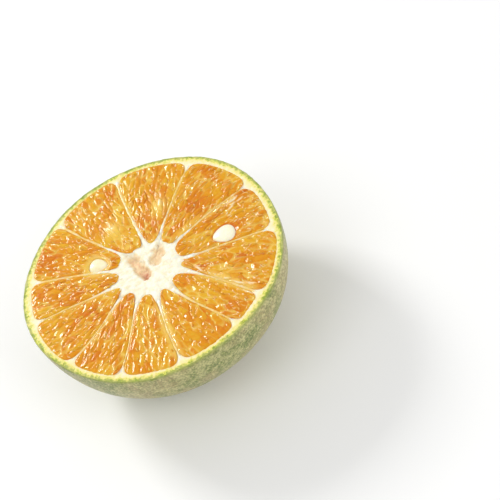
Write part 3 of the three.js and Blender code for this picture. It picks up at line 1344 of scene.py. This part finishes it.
@dataclass(frozen=True)
class SegmentSkins:
    """The pale walls between the segments, from the core out to the peel.

    Each wall is a sheet that runs up one side, over a ragged crest and down the other. Just under
    the cut it widens to a foot that reaches into the flesh on both sides.
    """

    plan: FruitPlan
    half_thickness: float = 0.28
    thickness: tuple[float, ...] = (1, 1.3, 1.5, 1.15, 1.1, 1, 1, 0.9, 0.9, 1, 1, 1)
    core_widening: float = 0.5
    widening_reach: Span = (0.12, 0.4)
    stand: float = 0.05
    crest_round: float = 0.1
    core_sink: float = 1.3
    core_sink_reach: Span = (-0.02, 0.13)
    peel_sink: float = 0.35
    peel_sink_reach: Span = (0.955, 0.985)
    reach: Span = (-0.06, 0.985)
    steps: int = 170
    crest: tuple[float, ...] = (-0.85, -0.45, 0.0, 0.45, 0.85)
    depths: tuple[float, ...] = (0.005, 0.015, 0.05, 0.12, 0.2, 0.31, 0.42, 0.52, 0.62, 0.71, 0.79, 0.86, 0.9)
    foot_depth: float = 0.01
    foot_overlap: float = 0.25
    foot_reach: Span = (0.05, 0.13)
    white_by_core: Span = (0.02, 0.45)
    white_by_peel: Span = (0.85, 0.97)
    wander: Humps = Humps(4, 0.15, 61, 1)
    unevenness: Humps = Humps(1.7, 0.55, 62, 1)
    raggedness: Humps = Humps(1.1, 0.1, 63)

    def row(self, index: int, side: float, depth: float, out: Array) -> Array:
        """Lays one row of points along a wall.

        Args:
            index: The segment that starts at the wall.
            side: -1 on its first side, 1 on its second one, and between them on the crest.
            depth: Depth as a share, which is 0 on the crest.
            out: Share of the way from the core to the peel, for each point.

        Returns:
            The points.
        """
        inner = self.plan.segments[index].tip * (1 - self.plan.core_taper * depth)
        radius = inner + out * (self.plan.radii(index, depth)[1] - inner)
        path = self.plan.septum_angle(index, out)
        line = polar_points(path, radius, 0.0)
        narrow = self.half_thickness * (1 - self.unevenness.at(line + (0, 0, 3)))
        widening = self.core_widening * (1 - smooth_step(*self.widening_reach, out))
        narrow *= self.thickness[index] * (1 + widening)
        if depth > self.foot_depth:
            foot = self.plan.side_gap(index - (side < 0), out) + self.foot_overlap
            narrow = np.maximum(narrow, foot * smooth_step(*self.foot_reach, out))
        aside = self.wander.at(line + (0, 0, 9 * index)) + side * narrow
        lift = -self.core_sink * (1 - smooth_step(*self.core_sink_reach, out))
        lift -= self.peel_sink * smooth_step(*self.peel_sink_reach, out)
        if depth == 0:
            ragged = self.raggedness.at(line + (0, 0, 5 * index))
            lift += (self.stand + ragged) * (1 - side**4) - self.crest_round * side**2
        return polar_points(path + aside / radius / DEGREE, radius, self.plan.height_at(depth) + lift)

    def faces(self, rows: int) -> list[Array]:
        """Joins a wall's rows, and closes it underneath and at both ends.

        Args:
            rows: How many rows the wall has.

        Returns:
            Arrays of triangles and of quads.
        """
        steps = self.steps
        along, last = np.arange(steps), (rows - 1) * steps
        under = np.stack([along[1:], along[:-1], along[:-1] + last, along[1:] + last], 1)
        faces = [grid_faces(rows, steps), under]
        for column, order in ((0, 1), (steps - 1, -1)):
            ring = np.arange(rows) * steps + column
            up, top, down = ring[: rows // 2], ring[rows // 2], ring[: rows // 2 : -1]
            cap = np.stack([up[:-1], up[1:], down[1:], down[:-1]], 1)
            tip = np.array([[up[-1], top, down[-1]]])
            faces += [cap[:, ::order], tip[:, ::order]]
        return faces

    def build(self, material: Material) -> Piece:
        """Makes all the walls as one piece, white by the core and by the peel.

        Args:
            material: The walls' finish.

        Returns:
            The new piece.
        """
        out = np.linspace(*self.reach, self.steps)
        profile = [(-1.0, depth) for depth in self.depths[::-1]]
        profile += [(side, 0.0) for side in self.crest]
        profile += [(1.0, depth) for depth in self.depths]
        points, faces = [], []
        for index in range(len(self.plan.segments)):
            start = len(points) * self.steps
            points += [self.row(index, side, depth, out) for side, depth in profile]
            faces += [group + start for group in self.faces(len(profile))]
        white = 1 - smooth_step(*self.white_by_core, out) + smooth_step(*self.white_by_peel, out)
        marks = {"white": np.tile(white, len(points))}
        return make_piece("segment_skins", np.concatenate(points), faces, marks, material)


@dataclass(frozen=True)
class Hollow:
    """A sunken place in the core: its middle, half its width and length, its depth and its turn."""

    at: Span
    half_size: Span
    depth: float
    turn: float


@dataclass(frozen=True)
class Core:
    """The white, fibrous star that the segments meet at."""

    plan: FruitPlan
    first_radius: float = 5.0
    arm_reach: float = 13.6
    step: float = 0.05
    columns: int = 900
    rings: int = 52
    overlap: float = 0.08
    edge_round: float = 0.1
    arm_sink: float = 0.6
    arm_sink_reach: Span = (11.5, 13.2)
    bowl_edge: Span = (0.35, 1.1)
    full_tint_depth: float = 1.5
    fibre_stretch: Span = (9, 0.45)
    fibre_reach: Span = (2, 7)
    ragged_edge: Humps = Humps(1.1, 0.4, 71, 4)
    fibres: Humps = Humps(1, 0.2, 72, 1)
    lumps: Humps = Humps(1.5, 0.3, 73, 4)
    hollow_lumps: Humps = Humps(0.8, 0.3, 75)
    hollows: tuple[Hollow, ...] = (
        Hollow((-3.3, 3.0), (2.0, 5.2), 1.0, 8),
        Hollow((-2.6, -1.0), (1.8, 3.2), 1.3, 10),
        Hollow((2.7, 2.2), (2.2, 4.2), 0.85, -38),
        Hollow((-2.5, -1.7), (0.9, 2.1), 1.5, -33),
    )
    depths: tuple[float, ...] = (0.02, 0.06, 0.12, 0.2, 0.31, 0.42, 0.52, 0.62, 0.71, 0.79, 0.86, 0.9)

    def edge(self, angle: Array) -> Array:
        """Finds the radius of the star's outline, which is where a segment starts or an arm ends.

        Args:
            angle: Angles round the core.

        Returns:
            A radius for each angle.
        """
        radius = np.arange(self.first_radius, self.arm_reach, self.step)
        met = self.plan.inside(angle[:, None], radius[None, :])
        return np.where(met.any(1), radius[np.argmax(met, axis=1)], self.arm_reach) + self.overlap

    def relief(self, flat: Array, share: Array) -> tuple[Array, Array]:
        """Works out the cut core's relief.

        Args:
            flat: Points of the cut face.
            share: How far out towards the outline each one is.

        Returns:
            The heights above the cut, and how sunk each point is.
        """
        sunk, height = np.zeros((2, len(flat)))
        ragged = self.ragged_edge.at(flat)
        for hollow in self.hollows:
            aside, along = turned_back(flat[:, 0] - hollow.at[0], flat[:, 1] - hollow.at[1], hollow.turn)
            reach = np.hypot(aside / hollow.half_size[0], along / hollow.half_size[1]) + ragged
            bowl = 1 - smooth_step(*self.bowl_edge, reach)
            sunk = np.maximum(sunk, bowl * min(1.0, hollow.depth / self.full_tint_depth))
            height = np.minimum(height, -hollow.depth * bowl)
        radius = np.hypot(flat[:, 0], flat[:, 1])
        turn = np.arctan2(flat[:, 1], flat[:, 0])
        stretched = polar_points(turn / DEGREE, self.fibre_stretch[0], radius * self.fibre_stretch[1])
        height += self.fibres.at(stretched) * smooth_step(*self.fibre_reach, radius)
        height += self.lumps.at(flat) - self.edge_round * share**6
        height += sunk * self.hollow_lumps.at(flat)
        height -= self.arm_sink * smooth_step(*self.arm_sink_reach, radius)
        return height, sunk

    def build(self, material: Material) -> Piece:
        """Makes the core.

        Args:
            material: The pith's finish.

        Returns:
            The new piece.
        """
        angle = once_round(self.columns)
        edge = self.edge(angle)
        shares = np.linspace(0.02, 1, self.rings)
        flat = np.concatenate([polar_points(angle, edge * share, 0.0) for share in shares])
        height, sunk = self.relief(flat, np.repeat(shares, self.columns))
        top = flat.copy()
        top[:, 2] = self.plan.cut_height + height
        loop = np.arange(len(top) - self.columns, len(top))
        walls = []
        for depth in self.depths:
            narrow = 1 - self.plan.core_taper * depth
            walls.append(polar_points(angle, edge * narrow, self.plan.height_at(depth)))
        end = np.array([[0, 0, self.plan.height_at(self.depths[-1] + 0.01)]])
        points, skirt, bottom = hang_rings(top, loop, walls, end)
        points = np.concatenate([points, [[0, 0, top[: self.columns, 2].mean()]]])
        hub = fan_faces(np.arange(self.columns), len(points) - 1)[:, ::-1]
        disc = grid_faces(self.rings, self.columns, closed=True)
        marks = {"sunk": np.concatenate([sunk, np.zeros(len(points) - len(top) - 1), sunk[:1]])}
        return make_piece("core_star", points, [np.concatenate([disc, skirt]), hub, bottom], marks, material)


@dataclass(frozen=True)
class Dome:
    """The dome's profile: the way along it, with the radius, height, depth and outward direction there."""

    plan: FruitPlan
    way: Array
    radius: Array
    height: Array
    depth: Array
    out: Array
    up: Array

    def points(self, way: Array, angle: Array, inward: Array | float) -> Array:
        """Places points on the dome, or a little inside it.

        Args:
            way: How far along the profile each point is.
            angle: Its angle round the core.
            inward: How far inside the surface it is.

        Returns:
            The points.
        """
        traces = (self.radius, self.height, self.depth, self.out, self.up)
        radius, height, depth, out, up = (np.interp(way, self.way, trace) for trace in traces)
        radius = radius * self.plan.outline(angle, depth) / self.plan.cut_radius
        return polar_points(angle, radius - inward * out, np.maximum(height - inward * up, 0))


@dataclass(frozen=True)
class Peel:
    """The peel: rind with a pit for each oil gland, pith inside it, and the rim that the cut leaves."""

    plan: FruitPlan
    seed: int = 5
    profile_steps: Span = (60, 500)
    gland_spacing: float = 0.95
    gland_radius: Span = (0.17, 0.3)
    gland_jitter: float = 0.2
    gland_reach: Span = (0.2, 0.42)
    pit_depth: Span = (0.05, 0.1)
    pit_sides: int = 5
    pit_side_mark: float = 0.55
    pit_side_depth: float = 0.35
    longest_side: float = 2.2
    rim_columns: int = 900
    rim_rings: int = 13
    rim_dip: float = 0.1
    inner_dip: float = 0.12
    rim_tint: float = 0.6
    rim_tint_width: float = 1.8
    ridge_reach: float = 31.0
    ridge_step: float = 0.03
    overlap: float = 0.12
    scar_reach: Span = (0.7, 1.5)
    scar_depth: float = 0.3
    least_inset: float = 0.02
    pith_mark: float = 3
    unevenness: Humps = Humps(11, 0.16, 81)
    edge_bite: Humps = Humps(0.85, 0.2, 83, 1)
    sponge: Humps = Humps(0.9, 0.1, 91)
    fine_sponge: Humps = Humps(0.4, 0.06, 95, 1)
    depths: tuple[float, ...] = (0.03, 0.12, 0.25, 0.42, 0.62, 0.79, 0.91, 0.96)

    def dome(self) -> Dome:
        """Follows the dome from the middle of its flat spot up to the cut.

        Returns:
            The profile.
        """
        whole = self.plan.cut_height + self.plan.flat_sink
        last = self.plan.cut_height / whole
        flat_steps, steps = self.profile_steps
        turn = np.linspace(math.asin(last ** (self.plan.dome_power / 2)), 0, steps)
        depth = np.sin(turn) ** (2 / self.plan.dome_power)
        radius = self.plan.cut_radius * self.plan.share_at(depth)
        height = np.maximum(self.plan.cut_height - depth * whole, 0)
        spot = np.linspace(0, radius[0], flat_steps)[:-1]
        radius = np.concatenate([spot, radius])
        height = np.concatenate([0 * spot, height])
        depth = np.concatenate([0 * spot + last, depth])
        way = np.concatenate([[0], np.cumsum(np.hypot(np.diff(radius), np.diff(height)))])
        slope = np.stack([np.gradient(height, way), -np.gradient(radius, way)])
        return Dome(self.plan, way, radius, height, depth, *(slope / np.linalg.norm(slope, axis=0)))

    def glands(self, dome: Dome, rng: Random) -> tuple[Array, Array, Array]:
        """Spreads the oil glands evenly over the dome, each moved a little at random.

        Args:
            dome: The dome's profile.
            rng: The random numbers to draw from.

        Returns:
            Each gland's way along the profile, its angle, and the dome's radius there.
        """
        rings = 2 * math.pi * (dome.radius[1:] + dome.radius[:-1]) / 2
        area = np.concatenate([[0], np.cumsum(rings * np.diff(dome.way))])
        count = int(area[-1] / (math.sqrt(3) / 2 * self.gland_spacing**2))
        way = np.interp((np.arange(count) + 0.5) / count * area[-1], area, dome.way)
        moved = rng.normal(0, self.gland_jitter * self.gland_spacing, (count, 2))
        way = np.clip(way + moved[:, 0], self.gland_reach[0], dome.way[-1] - self.gland_reach[1])
        radius = np.maximum(np.interp(way, dome.way, dome.radius), 0.5)
        return way, (np.arange(count) * GOLDEN_ANGLE) % 360 + moved[:, 1] / radius / DEGREE, radius

    def between(self, way: Array, angle: Array) -> tuple[Array, Array]:
        """Finds the middles between three neighbouring glands.

        Args:
            way: How far along the profile each gland is.
            angle: Its angle round the core.

        Returns:
            The middles' ways and angles.
        """
        flat = polar_points(angle, way, 0.0)
        corners = flat[triangles_of(way, angle)]
        longest = np.linalg.norm(corners - np.roll(corners, 1, axis=1), axis=2).max(1)
        x, y, _ = corners[longest < self.longest_side * self.gland_spacing].mean(1).T
        return np.hypot(x, y), np.arctan2(y, x) / DEGREE

    def rind(self) -> tuple[Array, Array, dict[str, Array]]:
        """Makes the outside, with corners in and round each gland, and others between three glands.

        Returns:
            The points, which end with the cut's edge, their triangles, and the marks gland, scar and rim.
        """
        rng = np.random.default_rng(self.seed)
        dome = self.dome()
        way, angle, radius = self.glands(dome, rng)
        size = rng.uniform(*self.gland_radius, len(way))
        pit = rng.uniform(*self.pit_depth, len(way))
        phase = rng.uniform(0, 360, len(way))
        ways, angles = [way], [angle]
        for side in once_round(self.pit_sides):
            turn = (phase + side) * DEGREE
            ways.append(way + size * np.cos(turn))
            angles.append(angle + size * np.sin(turn) / radius / DEGREE)
        middle_way, middle_angle = self.between(way, angle)
        cut = dome.way[-1]
        ways = np.concatenate([*ways, middle_way, np.full(self.rim_columns, cut)])
        angles = np.concatenate([*angles, middle_angle, once_round(self.rim_columns)])
        rest = np.zeros(len(middle_way) + self.rim_columns)
        sides = self.pit_sides
        gland = np.concatenate([np.ones(len(way)), np.full(sides * len(way), self.pit_side_mark), rest])
        inward = np.concatenate([pit, *[pit * self.pit_side_depth] * sides, rest])
        surface = dome.points(ways, angles, 0.0)
        bitten = (self.edge_bite.height + self.edge_bite.at(surface)) / 2 * (ways > cut - 0.01)
        uneven = (self.unevenness.height + self.unevenness.at(surface)) / 2
        scar = 1 - smooth_step(*self.scar_reach, ways)
        inward = inward + uneven + bitten + self.scar_depth * scar + self.least_inset
        rim = self.rim_tint * smooth_step(cut - self.rim_tint_width, cut, ways) ** 2
        marks = {"gland": gland, "scar": scar, "rim": rim}
        return dome.points(ways, angles, inward), triangles_of(ways, angles), marks

    def inner_edge(self, angle: Array) -> Array:
        """Finds the radius at which the rim meets the flesh, or the tip of a ridge of pith.

        Args:
            angle: Angles round the core.

        Returns:
            A radius for each angle.
        """
        radius = np.arange(self.ridge_reach, self.plan.cut_radius, self.ridge_step)
        met = self.plan.inside(angle[:, None], radius[None, :])
        last = radius[len(radius) - 1 - np.argmax(met[:, ::-1], axis=1)]
        return np.where(met.any(1), last, self.ridge_reach) - self.overlap

    def build(self, material: Material) -> Piece:
        """Makes the peel.

        Args:
            material: The peel's finish.

        Returns:
            The new piece.
        """
        outside, triangles, marks = self.rind()
        angle = once_round(self.rim_columns)
        edge = np.arange(len(outside) - self.rim_columns, len(outside))
        outer, inner = np.hypot(*outside[edge, :2].T), self.inner_edge(angle)
        rings, skins = [], []
        for share in np.linspace(0, 1, self.rim_rings)[1:]:
            radius = outer + (inner - outer) * share
            flat = polar_points(angle, radius, 0.0)
            dip = self.rim_dip * bell(outer - radius - 0.45, 0.25) + self.inner_dip * share**6
            rise = self.sponge.at(flat) + self.fine_sponge.at(flat) - dip
            rings.append(polar_points(angle, radius, self.plan.cut_height + rise))
            skins.append(outer - radius)
        for depth in self.depths:
            rings.append(polar_points(angle, inner * self.plan.share_at(depth), self.plan.height_at(depth)))
        end = np.array([[0, 0, self.plan.height_at(self.depths[-1])]])
        points, quads, bottom = hang_rings(outside, edge, rings, end)
        inside = np.zeros(len(points) - len(outside))
        marks = {name: np.append(values, inside) for name, values in marks.items()}
        pith = np.full(len(self.depths) * self.rim_columns + 1, self.pith_mark)
        marks["skin"] = np.concatenate([np.zeros(len(outside)), *skins, pith])
        return make_piece("peel_rind", points, [triangles, quads[:, ::-1], bottom[:, ::-1]], marks, material)


@dataclass(frozen=True)
class Seeds:
    """The four seeds, each an egg with a pointed end and faint ridges along it."""

    plan: FruitPlan
    rows: int = 44
    columns: int = 56
    ridges: int = 9
    ridge_height: float = 0.012
    scale: float = 0.97
    below: Span = (-0.8, 0.0)
    point_reach: Span = (0.5, 1.0)
    point_shade: float = 0.8
    lumps: Humps = Humps(2.5, 0.02, 101, 2)

    def build(self, number: int, seed: SeedPlan, material: Material) -> Piece:
        """Makes one seed.

        Args:
            number: The seed's number, from 1.
            seed: Its place and size.
            material: The seed coat's finish.

        Returns:
            The new piece.
        """
        turn = np.linspace(0, 180, self.rows + 2)[1:-1, None] * DEGREE
        around = once_round(self.columns)[None, :] * DEGREE
        along = -np.cos(turn) + 0 * around
        ridged = 1 + self.ridge_height * np.cos(self.ridges * around + number) * np.sin(turn)
        girth = np.sin(turn) * egg_girth(along) * ridged
        egg = np.stack([along, girth * np.cos(around), girth * np.sin(around)], 2).reshape(-1, 3)
        egg = np.concatenate([egg, [[-1, 0, 0], [1, 0, 0]]]) * (seed.length / 2, seed.width / 2, 1)
        egg[:, 2] *= np.where(egg[:, 2] > 0, seed.rise, seed.drop)
        egg *= self.scale + self.lumps.at(egg + number * 20)[:, None]
        spin = np.array(Matrix.Rotation(seed.heading * DEGREE, 3, "Z"))
        points = egg @ spin.T + (*seed.at, self.plan.cut_height - seed.sink)
        ring = np.arange(self.columns)
        ends = [fan_faces(ring, len(points) - 2)[:, ::-1]]
        ends.append(fan_faces(ring + (self.rows - 1) * self.columns, len(points) - 1))
        # below is 1 on the seed's side at negative local y, its lower side as the camera sees it; there it
        # strengthens the beige veil tint as painted shade
        below = 1 - smooth_step(*self.below, egg[:, 1] / (seed.width / 2))
        point = self.point_shade * smooth_step(*self.point_reach, egg[:, 0] / (seed.length / 2))
        marks = {"point": point, "veil_and_shade": seed.veil * (0.5 + 0.75 * below)}
        faces = [grid_faces(self.rows, self.columns, closed=True), *ends]
        return make_piece(f"seed_coat_{number}", points, faces, marks, material)


@dataclass(frozen=True)
class LooseSacs:
    """Whole juice sacs that the cut has lifted, scattered over the segments by Geometry Nodes."""

    spacing: float = 2.1
    density: float = 4e5
    half_length: Span = (0.5, 0.95)
    half_width: Span = (0.2, 0.34)
    sink: float = 0.1
    point: float = 0.45
    lean: float = 0.5
    seed: int = 11

    def sac_shape(self, sheet: NodeSheet) -> Socket:
        """Makes one sac of unit size in the tree: a drop with its point towards -X.

        Args:
            sheet: The tree.

        Returns:
            The sac's mesh.
        """
        ball = sheet.add("GeometryNodeMeshIcoSphere", {"Radius": 1.0, "Subdivisions": 2}).outputs["Mesh"]
        place = sheet.add("GeometryNodeInputPosition").outputs[0]
        x, y, z = sheet.add("ShaderNodeSeparateXYZ", {0: place}).outputs
        slim = sheet.sums("MULTIPLY_ADD", x, self.point, 1.0)
        drop = sheet.joined(x, sheet.sums("MULTIPLY", y, slim), sheet.sums("MULTIPLY", z, slim))
        shaped = sheet.add("GeometryNodeSetPosition", {"Geometry": ball, "Position": drop}).outputs[0]
        return sheet.add("GeometryNodeSetShadeSmooth", {"Geometry": shaped}).outputs[0]

    def random(self, sheet: NodeSheet, reach: Span, draw: int) -> Socket:
        """Draws a random number for each sac."""
        inputs = {2: reach[0], 3: reach[1], "Seed": self.seed + draw}
        return sheet.add("FunctionNodeRandomValue", inputs, data_type="FLOAT").outputs[1]

    def turn(self, sheet: NodeSheet, normal: Socket) -> Socket:
        """Lays each sac on the flesh, with its length outwards from the core but for a random lean.

        Args:
            sheet: The tree.
            normal: The direction that the flesh faces.

        Returns:
            The sacs' rotation.
        """
        outwards = sheet.ways("MULTIPLY", sheet.add("GeometryNodeInputPosition").outputs[0], (1, 1, 0))
        lean = sheet.joined(*(self.random(sheet, (-self.lean, self.lean), draw) for draw in (1, 2)))
        aim = sheet.ways("ADD", sheet.ways("NORMALIZE", outwards), lean)
        upright = sheet.add("FunctionNodeAlignRotationToVector", {"Vector": normal}, axis="Z").outputs[0]
        turned = {"Rotation": upright, "Vector": aim}
        return sheet.add("FunctionNodeAlignRotationToVector", turned, axis="X", pivot_axis="Z").outputs[0]

    def tree(self) -> bpy.types.NodeTree:
        """Builds the tree, with the spacing, a seed and the finish as its inputs.

        Returns:
            The new tree.
        """
        tree = bpy.data.node_groups.new("loose_sacs", "GeometryNodeTree")
        kinds = {"Geometry": "Geometry", "Spacing": "Float", "Seed": "Int", "Finish": "Material"}
        for name, kind in kinds.items():
            tree.interface.new_socket(name, in_out="INPUT", socket_type=f"NodeSocket{kind}")
        tree.interface.new_socket("Geometry", in_out="OUTPUT", socket_type="NodeSocketGeometry")
        sheet = NodeSheet(tree)
        given = sheet.add("NodeGroupInput").outputs
        room = sheet.add("GeometryNodeInputNamedAttribute", {"Name": "room"}, data_type="FLOAT").outputs[0]
        spread = {"Mesh": given["Geometry"], "Distance Min": given["Spacing"], "Seed": given["Seed"]}
        spread |= {"Density Max": self.density, "Density Factor": room}
        spots = sheet.add("GeometryNodeDistributePointsOnFaces", spread, distribute_method="POISSON").outputs
        down = sheet.ways("MULTIPLY", spots["Normal"], (-self.sink * MM,) * 3)
        sunk = sheet.add("GeometryNodeSetPosition", {"Geometry": spots["Points"], "Offset": down}).outputs[0]
        spans = enumerate((self.half_length, self.half_width, self.half_width), 3)
        sizes = [self.random(sheet, (low * MM, high * MM), draw) for draw, (low, high) in spans]
        placed = {"Points": sunk, "Instance": self.sac_shape(sheet), "Scale": sheet.joined(*sizes)}
        placed["Rotation"] = self.turn(sheet, spots["Normal"])
        sacs = sheet.add("GeometryNodeInstanceOnPoints", placed).outputs[0]
        for draw, (name, reach) in enumerate((("tone", (0.3, 0.85)), ("film", (0.0, 0.3))), 6):
            stored = {"Geometry": sacs, "Name": name, "Value": self.random(sheet, reach, draw)}
            kind = {"data_type": "FLOAT", "domain": "INSTANCE"}
            sacs = sheet.add("GeometryNodeStoreNamedAttribute", stored, **kind).outputs[0]
        real = sheet.add("GeometryNodeRealizeInstances", {"Geometry": sacs}).outputs[0]
        finished = {"Geometry": real, "Material": given["Finish"]}
        done = sheet.add("GeometryNodeSetMaterial", finished).outputs[0]
        sheet.add("NodeGroupOutput", {"Geometry": done})
        return tree

    def build(self, bed: Piece, material: Material) -> Piece:
        """Scatters the sacs and keeps them as a plain mesh.

        Args:
            bed: The segments' cut faces, with the mark room where a sac may lie. It is used up.
            material: The flesh's finish.

        Returns:
            The new piece.
        """
        modifier = bed.modifiers.new("loose_sacs", "NODES")
        modifier.node_group = self.tree()
        values = {"Spacing": self.spacing * MM, "Seed": self.seed, "Finish": material}
        for item in modifier.node_group.interface.items_tree:
            if item.in_out == "INPUT" and item.name in values:
                modifier[item.identifier] = values[item.name]
        mesh = bpy.data.meshes.new_from_object(bed.evaluated_get(bpy.context.evaluated_depsgraph_get()))
        mesh.name = "loose_sacs"
        bpy.data.objects.remove(bed)
        return stand("loose_sacs", mesh)


@dataclass(frozen=True)
class Lamp:
    """A square soft light that faces the fruit: where it is, the length of its side, and its watts."""

    name: str
    place: tuple[float, float, float]
    size: float
    power: float


@dataclass(frozen=True)
class Studio:
    """A pale floor, soft light with a small lamp that glints on the wet flesh, and the camera."""

    distance: float = 500
    from_normal: float = 41.376
    roll: float = 31.447
    focal_pixels: float = 1928
    frame_pixels: float = 500
    face_at: Span = (151.4, 264.9)
    sensor: float = 36
    clips: Span = (10, 20000)
    floor_size: float = 3000
    floor_pale: Colour = srgb(250, 250, 249)
    floor_grey: Colour = (0.7, 0.7, 0.7)
    world_light: float = 0.57
    lamps: tuple[Lamp, ...] = (
        Lamp("key", (-420, -120, 620), 420, 0.85),
        Lamp("fill", (380, -520, 360), 420, 1.7),
        Lamp("glint", (-200, 470, 360), 160, 2.0),
    )

    def floor(self) -> None:
        """Makes the floor that the fruit rests on."""
        sheet = ShaderSheet("floor")
        sheet.plug("Base Color", sheet.speckled(self.floor_pale, Speckle(60, 2, 0, 1, 0.04, self.floor_grey)))
        sheet.set(Roughness=0.6, Specular_IOR_Level=0.2)
        corners = np.array([(-1, -1, 0), (1, -1, 0), (1, 1, 0), (-1, 1, 0)]) * self.floor_size / 2
        mesh = make_mesh("floor", corners, [np.array([[0, 1, 2, 3]])], {})
        mesh.materials.append(sheet.material)
        floor = stand("floor", mesh)

    def lights(self) -> None:
        """Lights the fruit evenly from all round, and from each lamp."""
        world = bpy.data.worlds.new("studio")
        world.use_nodes = True
        background = world.node_tree.nodes["Background"]
        background.inputs["Color"].default_value = (1, 1, 1, 1)
        background.inputs["Strength"].default_value = self.world_light
        bpy.context.scene.world = world
        bpy.context.scene.view_settings.view_transform = "Standard"
        for lamp in self.lamps:
            light = bpy.data.lights.new(lamp.name, "AREA")
            light.size, light.energy = lamp.size * MM, lamp.power
            thing = stand(lamp.name, light)
            thing.location = Vector(lamp.place) * MM
            thing.rotation_euler = (-thing.location).to_track_quat("-Z", "Y").to_euler()

    def camera(self, target: Vector) -> None:
        """Looks at the cut face as the photograph does, with the same turn in the picture.

        Args:
            target: Middle of the cut face, in metres.
        """
        tilt, roll = self.from_normal * DEGREE, self.roll * DEGREE
        back = Vector((0, -math.sin(tilt), math.cos(tilt)))
        level, rise = Vector((1, 0, 0)), Vector((0, math.cos(tilt), math.sin(tilt)))
        right = level * math.cos(roll) - rise * math.sin(roll)
        up = level * math.sin(roll) + rise * math.cos(roll)
        straight = Matrix((right, up, back)).transposed()
        middle = self.frame_pixels / 2
        aside = Vector((self.face_at[0] - middle, middle - self.face_at[1], -self.focal_pixels))
        swing = aside.normalized().rotation_difference(Vector((0, 0, -1))).to_matrix()
        data = bpy.data.cameras.new("camera")
        data.sensor_width = self.sensor
        data.lens = self.focal_pixels / self.frame_pixels * self.sensor
        data.clip_start, data.clip_end = (clip * MM for clip in self.clips)
        camera = stand("camera", data)
        aimed = (straight @ swing).to_4x4()
        camera.matrix_world = Matrix.Translation(target + back * self.distance * MM) @ aimed
        bpy.context.scene.camera = camera


def main() -> None:
    """Sets up the studio, and builds the fruit piece by piece."""
    logging.basicConfig(level=logging.INFO, format="%(message)s")
    plan = FruitPlan()
    studio = Studio()
    studio.floor()
    studio.lights()
    studio.camera(Vector((0, 0, plan.cut_height * MM)))
    settle(Peel(plan).build(PeelFinish().material()), Slot.PEEL, "peel")
    settle(Core(plan).build(PithFinish().material()), Slot.PITH, "core")
    settle(SegmentSkins(plan).build(SkinFinish().material()), Slot.PITH)
    flesh_finish = FleshFinish().material()
    flesh = Flesh(plan)
    for index in range(len(plan.segments)):
        settle(flesh.build(index, flesh_finish), Slot.FLESH, f"segment_{index + 1:02d}")
    settle(LooseSacs().build(flesh.bed(), flesh_finish), Slot.FLESH)
    seed_finish = SeedFinish().material()
    seeds = Seeds(plan)
    for number, seed in enumerate(SEED_PLANS, 1):
        settle(seeds.build(number, seed, seed_finish), Slot.SEED, f"seed_{number}")


if __name__ == "__main__":
    main()
